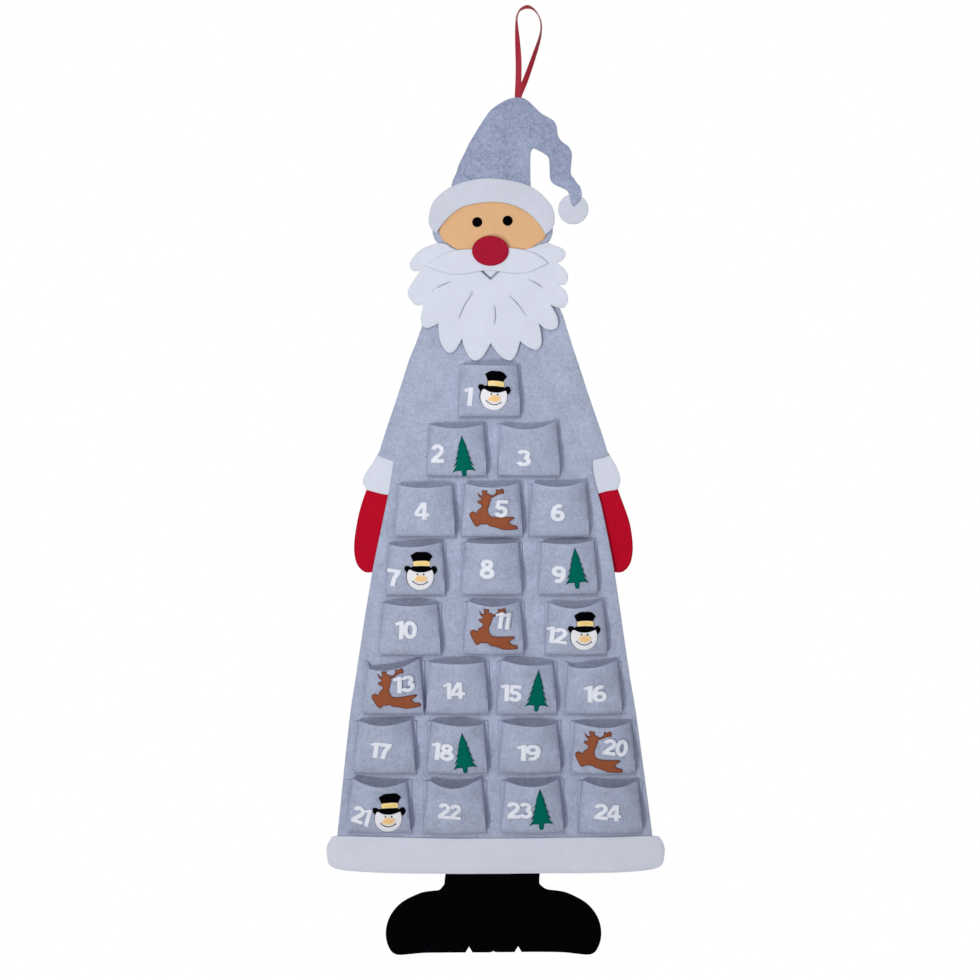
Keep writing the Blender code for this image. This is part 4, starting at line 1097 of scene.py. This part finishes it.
# Centrelines of the digits, in shares of their height, with the width of each stroke
WIDE = digit_stroke_share
digit_strokes = {
    "0": [(arc((0.34, 0.5), (0.225, 0.385), 0.0, 360.0), WIDE)],
    "1": [([(0.30, 1.0), (0.26, 0.0)], WIDE), ([(0.0, 0.8), (0.3, 0.9)], 0.17)],
    "2": [(arc((0.33, 0.68), (0.215, 0.205), 178.0, -42.0) + [(0.12, 0.16)], WIDE),
          ([(0.0, 0.11), (0.66, 0.11)], 0.22)],
    "3": [(arc((0.31, 0.71), (0.2, 0.185), 165.0, -85.0), WIDE * 0.95),
          (arc((0.31, 0.31), (0.23, 0.205), 85.0, -168.0), WIDE)],
    "4": [([(0.42, 0.98), (0.07, 0.36)], 0.19), ([(0.0, 0.285), (0.7, 0.285)], 0.2),
          ([(0.46, 1.0), (0.46, 0.0)], WIDE)],
    "5": [([(0.12, 0.895), (0.64, 0.895)], 0.21), ([(0.2, 0.96), (0.13, 0.48)], 0.2),
          (arc((0.31, 0.33), (0.225, 0.225), 140.0, -165.0), WIDE)],
    "6": [(arc((0.35, 0.325), (0.225, 0.215), 0.0, 360.0), WIDE),
          (arc((0.4, 0.46), (0.275, 0.43), 62.0, 190.0), WIDE)],
    "7": [([(0.0, 0.89), (0.66, 0.89)], 0.22), ([(0.56, 0.88), (0.36, 0.5), (0.27, 0.0)], WIDE)],
    "8": [(arc((0.34, 0.735), (0.175, 0.16), 0.0, 360.0), WIDE * 0.95),
          (arc((0.34, 0.3), (0.225, 0.19), 0.0, 360.0), WIDE)],
    "9": [(arc((0.33, 0.675), (0.225, 0.215), 0.0, 360.0), WIDE),
          (arc((0.28, 0.54), (0.275, 0.43), -118.0, 10.0), WIDE)],
}
digit_width_shares = {"1": 0.42}
plain_width_share = 0.68
digit_overlap_share = 0.06


def stroke_quads(centreline, width):
    """The four-sided pieces of a stroke of this width."""
    line = np.array(centreline, float)
    closed = np.allclose(line[0], line[-1])
    if closed:
        line = line[:-1]
    aside = left_sides(line, closed) * 0.5 * width
    left, right = line + aside, line - aside
    count = len(line)
    ends = range(count if closed else count - 1)
    return [[left[i], left[(i + 1) % count], right[(i + 1) % count], right[i]] for i in ends]


def rim_loops(places, faces):
    """The loops round faces that meet edge to edge, each with the felt on its left."""
    steps = set()
    for face in faces:
        corners = np.array([places[n] for n in face])
        ordered = face if loop_area(corners) > 0 else face[::-1]
        steps.update(zip(ordered, ordered[1:] + ordered[:1]))
    onward = {}
    for a, b in steps:
        if (b, a) not in steps:
            onward.setdefault(a, []).append(b)
    loops = []
    while onward:
        start = min(onward)
        loop = [start]
        before, here = start, onward[start].pop()
        while here != start:
            loop.append(here)
            back = math.atan2(*(places[before] - places[here])[::-1])
            ways = [((back - math.atan2(*(places[n] - places[here])[::-1])) % math.tau, n)
                    for n in onward[here]]
            chosen = min(ways)[1]
            onward[here].remove(chosen)
            before, here = here, chosen
        onward = {a: ends for a, ends in onward.items() if ends}
        loops.append(np.array([places[n] for n in loop]))
    return loops


def joined_loops(quads):
    """The outline of overlapping four-sided pieces taken together."""
    points = [Vector(corner) for quad in quads for corner in quad]
    edges = [(4 * n + k, 4 * n + (k + 1) % 4) for n in range(len(quads)) for k in range(4)]
    found, _, triangles, _, _, _ = geometry.delaunay_2d_cdt(points, edges, [], 0, 1e-5)
    places = np.array([tuple(point) for point in found])
    middles = np.array([places[list(face)].mean(axis=0) for face in triangles])
    covered = np.zeros(len(triangles), bool)
    for quad in quads:
        covered |= inside(middles, [np.array(quad)])
    smallest_cut = 0.004
    loops = rim_loops(places, [list(face) for face, keep in zip(triangles, covered) if keep])
    return turned_right_way([loop for loop in loops if abs(loop_area(loop)) > smallest_cut])


def number_loops(number):
    """The outlines of a number's digits, in shares of their height, about the number's middle."""
    cursor = 0.0
    placed = []
    for digit in str(number):
        quads = [quad for line, width in digit_strokes[digit] for quad in stroke_quads(line, width)]
        quads = [[(corner[0] + cursor, corner[1]) for corner in quad] for quad in quads]
        placed.append(quads)
        cursor += digit_width_shares.get(digit, plain_width_share) - digit_overlap_share
    middle = 0.5 * (cursor + digit_overlap_share)
    shapes = []
    for quads in placed:
        shapes.append([loop - np.array((middle, 0.5)) for loop in joined_loops(quads)])
    return shapes

def make_numbers(pockets):
    lens_x, lens_z = frame_point(LENS_PIXEL)
    for number, pixel in number_pixels.items():
        pocket = pockets[number]
        x, z = frame_point(pixel)
        nearer = 1 - pocket.front_depth(x, z) / CAMERA_DISTANCE
        x = lens_x + (x - lens_x) * nearer
        z = lens_z + (z - lens_z) * nearer
        turn = math.radians(number_tilts.get(number, 0.0))
        rotate = np.array(((math.cos(turn), math.sin(turn)), (-math.sin(turn), math.cos(turn))))
        size = DIGIT_HEIGHT * (1.0 if number < 10 else two_digit_share) * np.array(
            number_shares.get(number, plain_number_shares))
        under = THIN_FELT + LAYER_GAP if number in reindeer_numbers else 0.0
        for place, loops in enumerate(number_loops(number)):
            placed = [(loop * size) @ rotate + np.array((x, z)) for loop in loops]
            applique_sheet(f"number_{number:02d}_digit_{place + 1}", pocket, placed, "digit_felt",
                           under=under + place * SECOND_DIGIT_RISE, thickness=DIGIT_FELT,
                           spacing=0.003)


def make_trees(pockets):
    """The fir trees, cut a little larger than their solids, with a square foot to the trunk."""
    grown_shares = (1.04, 1.085)
    top_rise = 0.0009
    trunk_tip = 0.0018
    for number in tree_numbers:
        node = f"tree_{number:02d}"
        low, high = boxes[node]
        top = np.array((0.5 * (low.x + high.x), high.z))
        loops = [np.maximum(loop, (-1.0, low.z + trunk_tip)) for loop in solid_loops(node)]
        loops = [top + (0.0, top_rise) + grown_shares * (loop - top) for loop in loops]
        applique_sheet(node + "_felt", pockets[number], loops, "green_felt", node=node)


def make_reindeer(pockets):
    for number in reindeer_numbers:
        node = f"reindeer_{number:02d}"
        applique_sheet(node + "_felt", pockets[number], solid_loops(node), "brown_felt", node=node)


# Snowmen: places across and up from the middle of the face, and radii, in pixels of the photograph
SNOWMAN_PIXEL = 0.9835 * PIXEL
FACE_RADIUS = 0.0154
BAND_FELT = 0.0006
EYE_FELT = 0.0008
SMILE_THREAD = 0.0005
SMILE_RISE = 0.0001
THICK_END = 1.9
snowman_tilts = {1: -5.0, 7: -1.5, 12: -1.0, 21: -2.0}
snowman_shifts = {1: (0.6, -1.1), 7: (0.4, 0.0), 12: (0.4, 0.0), 21: (0.3, 0.0)}
snowman_nose = ((0.7, -1.9), (6.4, 3.6))
snowman_eyes = {"left": (-2.8, 2.6), "right": (3.5, 2.6)}
eye_radii = (0.75, 0.95)
snowman_band_pixels = ((-7.0, 10.4), (-7.2, 15.2), (-3.0, 15.9), (1.3, 16.1), (5.6, 15.9), (9.3, 15.1),
                 (9.3, 10.4), (1.2, 10.9))
snowman_smile_pixels = ((-7.4, -4.2), (-6.6, -5.1), (-4.8, -6.5), (-2.2, -7.6), (0.5, -8.0), (3.0, -7.6),
                  (4.9, -6.8), (6.6, -5.7), (7.6, -4.8))


def ellipse_loop(centre, radii, sides=24):
    return np.array([(centre[0] + radii[0] * math.cos(math.tau * k / sides),
                      centre[1] + radii[1] * math.sin(math.tau * k / sides)) for k in range(sides)])

def make_snowmen(pockets):
    raised = THIN_FELT + LAYER_GAP
    top = 2 * raised
    for number in snowman_numbers:
        pocket = pockets[number]
        hat = f"snowman_hat_{number:02d}"
        face = f"snowman_face_{number:02d}"
        applique_sheet(hat + "_felt", pocket, solid_loops(hat), "black_felt", node=hat)
        shift = np.array(snowman_shifts[number]) * PIXEL
        face_loops = [loop + shift for loop in solid_loops(face)]
        applique_sheet(face + "_felt", pocket, face_loops, "snow_felt", face, raised)
        low, high = boxes[face]
        turn = math.radians(snowman_tilts[number])

        def at(across, up):
            x = across * math.cos(turn) - up * math.sin(turn)
            z = across * math.sin(turn) + up * math.cos(turn)
            return (0.5 * (low.x + high.x) + shift[0] + x * SNOWMAN_PIXEL,
                    low.z + FACE_RADIUS + shift[1] + z * SNOWMAN_PIXEL)

        band = turned_right_way([np.array([at(*place) for place in snowman_band_pixels])])
        applique_sheet(f"snowman_band_{number:02d}", pocket, band, "gold_satin",
                       under=raised, thickness=BAND_FELT, spacing=0.004)
        place, radii = snowman_nose
        nose = ellipse_loop(at(*place), [radius * SNOWMAN_PIXEL for radius in radii])
        applique_sheet(f"snowman_nose_{number:02d}", pocket, [nose], "nose_felt", under=top)
        for side, place in snowman_eyes.items():
            eye = ellipse_loop(at(*place), [radius * SNOWMAN_PIXEL for radius in eye_radii], 12)
            applique_sheet(f"snowman_eye_{side}_{number:02d}", pocket, [eye], "black_felt",
                           under=top, thickness=EYE_FELT, spacing=0.004)
        smile = [at(*place) for place in snowman_smile_pixels]
        points = [(x, pocket.front_y(x, z) - top - SMILE_RISE, z) for x, z in smile]
        dress(thread_tube(f"snowman_smile_{number:02d}", points, SMILE_THREAD, "black_thread"))


def evaluated_mesh(name, source):
    """The mesh that an object comes to, in place of the object."""
    bpy.context.view_layer.update()
    shown = source.evaluated_get(bpy.context.evaluated_depsgraph_get())
    mesh = bpy.data.meshes.new_from_object(shown)
    bpy.data.objects.remove(source, do_unlink=True)
    mesh.name = name
    return mesh


def thread_tube(name, points, radius, thread):
    """A thread along these points, with thick ends, as a mesh."""
    data = bpy.data.curves.new(name, "CURVE")
    data.dimensions = "3D"
    data.bevel_depth = radius
    data.bevel_resolution = 2
    data.use_fill_caps = True
    spline = data.splines.new("POLY")
    spline.points.add(len(points) - 1)
    for number, point in enumerate(points):
        spline.points[number].co = (*point, 1.0)
    for number in (0, -1):
        spline.points[number].radius = THICK_END
    mesh = evaluated_mesh(name, add_object(name, data))
    mesh.materials.clear()
    finish_mesh(mesh, weld=SHORTEST_STEP)
    return add_object(name, mesh, materials[thread])


# Seam stitches

def stitch_tree():
    """Geometry nodes: a row of short stitches along every edge of the piece."""
    tree = bpy.data.node_groups.new("running_stitch", "GeometryNodeTree")
    group_socket(tree, "Geometry", "Geometry")
    group_socket(tree, "Stitch Pitch", "Float", 0.0035)
    group_socket(tree, "Stitch Length", "Float", 0.0024)
    group_socket(tree, "Thread Radius", "Float", 0.0003)
    group_socket(tree, "Thread", "Material")
    group_socket(tree, "Geometry", "Geometry", way="OUTPUT")
    given = new_node(tree, "NodeGroupInput").outputs
    path = new_node(tree, "GeometryNodeMeshToCurve", {"Mesh": given["Geometry"]})
    spaced = new_node(tree, "GeometryNodeResampleCurve", {
        "Curve": path.outputs["Curve"], "Length": given["Stitch Pitch"],
    }, mode="LENGTH")
    stitch = new_node(tree, "GeometryNodeMeshUVSphere", {"Segments": 6, "Rings": 4, "Radius": 1.0})
    tangent = new_node(tree, "GeometryNodeInputTangent").outputs["Tangent"]
    turn = new_node(tree, "FunctionNodeAlignRotationToVector", {"Vector": tangent}, axis="Z")
    size = new_node(tree, "ShaderNodeCombineXYZ", {
        "X": given["Thread Radius"], "Y": given["Thread Radius"],
        "Z": maths(tree, "MULTIPLY", given["Stitch Length"], 0.5),
    })
    put = new_node(tree, "GeometryNodeInstanceOnPoints", {
        "Points": spaced.outputs["Curve"], "Instance": stitch.outputs["Mesh"],
        "Rotation": turn.outputs["Rotation"], "Scale": size.outputs["Vector"],
    })
    real = new_node(tree, "GeometryNodeRealizeInstances", {"Geometry": put.outputs["Instances"]})
    smooth = new_node(tree, "GeometryNodeSetShadeSmooth", {"Geometry": real.outputs["Geometry"]})
    paint = new_node(tree, "GeometryNodeSetMaterial", {
        "Geometry": smooth.outputs["Geometry"], "Material": given["Thread"],
    })
    new_node(tree, "NodeGroupOutput", {"Geometry": paint.outputs["Geometry"]})
    return tree


def set_input(modifier, name, value):
    """Sets a modifier's input by the identifier of the socket of that name."""
    for item in modifier.node_group.interface.items_tree:
        if item.item_type == "SOCKET" and item.in_out == "INPUT" and item.name == name:
            modifier[item.identifier] = value


def sew(name, runs, thread, **sizes):
    """One mesh on the figure with a running stitch along each run of points."""
    verts = []
    edges = []
    for run in runs:
        edges += [(len(verts) + i, len(verts) + i + 1) for i in range(len(run) - 1)]
        verts += run
    mesh = bpy.data.meshes.new(name + "_path")
    mesh.from_pydata(verts, edges, [])
    path = add_object(name + "_path", mesh)
    modifier = path.modifiers.new("stitches", "NODES")
    modifier.node_group = stitch_group
    set_input(modifier, "Thread", materials[thread])
    for key, value in sizes.items():
        set_input(modifier, key.replace("_", " ").title(), value)
    sewn = evaluated_mesh(name, path)
    dress(add_object(name, sewn, None if sewn.materials else materials[thread]))


def sew_hat_tail():
    """The few long stitches across the tip of the hat's tail."""
    start, end = [frame_point(pixel) for pixel in tail_stitch_pixels]
    back = layer_back("hat")
    front = node_felt("hat") + TAIL_SEAM_RISE
    run = []
    for step in range(TAIL_SEAM_STEPS + 1):
        x, z = [mixed(a, b, step / TAIL_SEAM_STEPS) for a, b in zip(start, end)]
        run.append((x, back(x, z) - front, z))
    sew("tail_seam", [run], "pale_thread", thread_radius=0.0006, stitch_length=0.0034)


# Ribbon

LOOP_HEIGHT = 0.1064
LOOP_WIDTH = 0.0288
RIBBON_WIDTH = 0.007
RIBBON_THICKNESS = 0.0004
LOOP_SEAT = 0.0009
RIBBON_STEPS = 5
TAIL_STEPS = 6
RIBBON_SHARP_DEGREES = 55.0
loop_apex_share = 0.449
loop_route_shares = (
    (0.045, 0.0), (0.077, 0.186), (0.081, 0.383), (0.045, 0.57), (0.008, 0.734),
    (0.0, 0.838), (0.069, 0.914), (0.223, 0.96), (0.449, 0.98), (0.676, 0.954),
    (0.87, 0.892), (0.984, 0.81), (0.988, 0.708), (0.903, 0.602), (0.773, 0.493),
    (0.636, 0.383), (0.495, 0.274), (0.345, 0.164), (0.19, 0.066), (0.09, 0.0),
)
# How far the ribbon has turned edge-on along its route, a share of a quarter turn
loop_turn_shares = (0.0, 0.0, 0.1, 0.4, 0.66, 0.82, 0.78, 0.55, 0.4, 0.62, 0.78, 0.8, 0.82, 0.7, 0.58,
                    0.48, 0.4, 0.28, 0.12, 0.0)
loop_apart_shares = (0.3, 0.8)


def curve_points(points, steps):
    ends = [points[0], *points, points[-1]]
    out = []
    for a, b, c, d in zip(ends, ends[1:], ends[2:], ends[3:]):
        for step in range(steps):
            t = step / steps
            out.append(tuple(0.5 * (2 * q + (r - p) * t + (2 * p - 5 * q + 4 * r - s) * t * t
                                    + (3 * q - p - 3 * r + s) * t**3) for p, q, r, s in zip(a, b, c, d)))
    out.append(tuple(points[-1]))
    return out


def make_ribbon():
    """One ribbon: a tail up the back of the hat, round over the nail, and down to the other tail."""
    low, high = boxes["ribbon_tails"]
    middle_y = 0.5 * (low.y + high.y)
    foot_x = 0.5 * (low.x + high.x)
    offset = 0.5 * (RIBBON_THICKNESS + LAYER_GAP)
    rise = LOOP_HEIGHT - LOOP_SEAT
    route = curve_points(loop_route_shares, RIBBON_STEPS)
    apex = max(range(len(route)), key=lambda i: route[i][1])
    places = []
    twists = []
    for step in range(TAIL_STEPS):
        places.append(Vector((foot_x, middle_y - offset, low.z + (high.z - low.z) * step / TAIL_STEPS)))
        twists.append(0.0)
    for i, (across, up) in enumerate(route):
        apart = 1 - smoothstep(*loop_apart_shares, up)
        side = -offset if i < apex else offset
        places.append(Vector(((across - loop_apex_share) * LOOP_WIDTH, middle_y + side * apart,
                              (up - 1) * rise)))
        turn = min(i / RIBBON_STEPS, len(loop_turn_shares) - 1.001)
        start, end = loop_turn_shares[int(turn)], loop_turn_shares[int(turn) + 1]
        twists.append(0.5 * math.pi * mixed(start, end, turn % 1.0))
    for step in range(TAIL_STEPS):
        z = high.z + (low.z - high.z) * (step + 1) / TAIL_STEPS
        places.append(Vector((foot_x, middle_y + offset, z)))
        twists.append(0.0)
    # Across the strip, and how thick it is there
    section = ((-0.5, 0.7), (-0.42, 1.0), (-0.2, 1.0), (0.2, 1.0), (0.42, 1.0), (0.5, 0.7))
    verts = []
    lengths = []
    run = 0.0
    depth = Vector((0.0, 1.0, 0.0))
    for i, place in enumerate(places):
        before = places[max(i - 1, 0)]
        after = places[min(i + 1, len(places) - 1)]
        along = (after - before).normalized()
        if i:
            run += (place - before).length
        lengths.append(run)
        flat = along.cross(depth).normalized()
        wide = flat * math.cos(twists[i]) + depth * math.sin(twists[i])
        thick = along.cross(wide).normalized()
        for face, row in ((-0.5, section), (0.5, section[::-1])):
            for share, thin in row:
                verts.append(place + wide * share * RIBBON_WIDTH + thick * face * thin * RIBBON_THICKNESS)
    ring = 2 * len(section)
    faces = []
    uvs = []
    for i in range(len(places) - 1):
        for k in range(ring):
            n = (k + 1) % ring
            faces.append((i * ring + k, i * ring + n, (i + 1) * ring + n, (i + 1) * ring + k))
            uvs += [(k / ring, lengths[i]), (n / ring, lengths[i]), (n / ring, lengths[i + 1]),
                    (k / ring, lengths[i + 1])]
    last = tuple(range((len(places) - 1) * ring, len(places) * ring))
    faces += [tuple(range(ring)), last[::-1]]
    uvs += [(0.0, 0.0)] * (2 * ring)
    mesh = bpy.data.meshes.new("ribbon")
    mesh.from_pydata(verts, [], faces)
    for loop, uv in zip(mesh.uv_layers.new(name="strip").data, uvs):
        loop.uv = uv
    finish_mesh(mesh, RIBBON_SHARP_DEGREES)
    ribbon = add_object("ribbon", mesh, materials["ribbon_satin"])
    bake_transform(ribbon)
    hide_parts("ribbon_loop", "ribbon_tails")


bpy.context.scene.view_settings.view_transform = "Standard"
make_camera()
make_lamps()
make_studio()
wool_tree = wool_group()
stitch_group = stitch_tree()
materials = {name: felt_material(name, *look) for name, look in felt_looks.items()}
materials.update({name: thread_material(name, colour) for name, colour in thread_colours.items()})
materials["ribbon_satin"] = satin_material("ribbon_satin")
make_ribbon()
make_layers()
pockets = {number: Pocket(number) for number in range(1, 25)}
for pocket in pockets.values():
    pocket.build()
make_trees(pockets)
make_reindeer(pockets)
make_snowmen(pockets)
make_numbers(pockets)
sew_hat_tail()
sew("pocket_seams", [run for pocket in pockets.values() for run in pocket.seams()], "grey_thread")
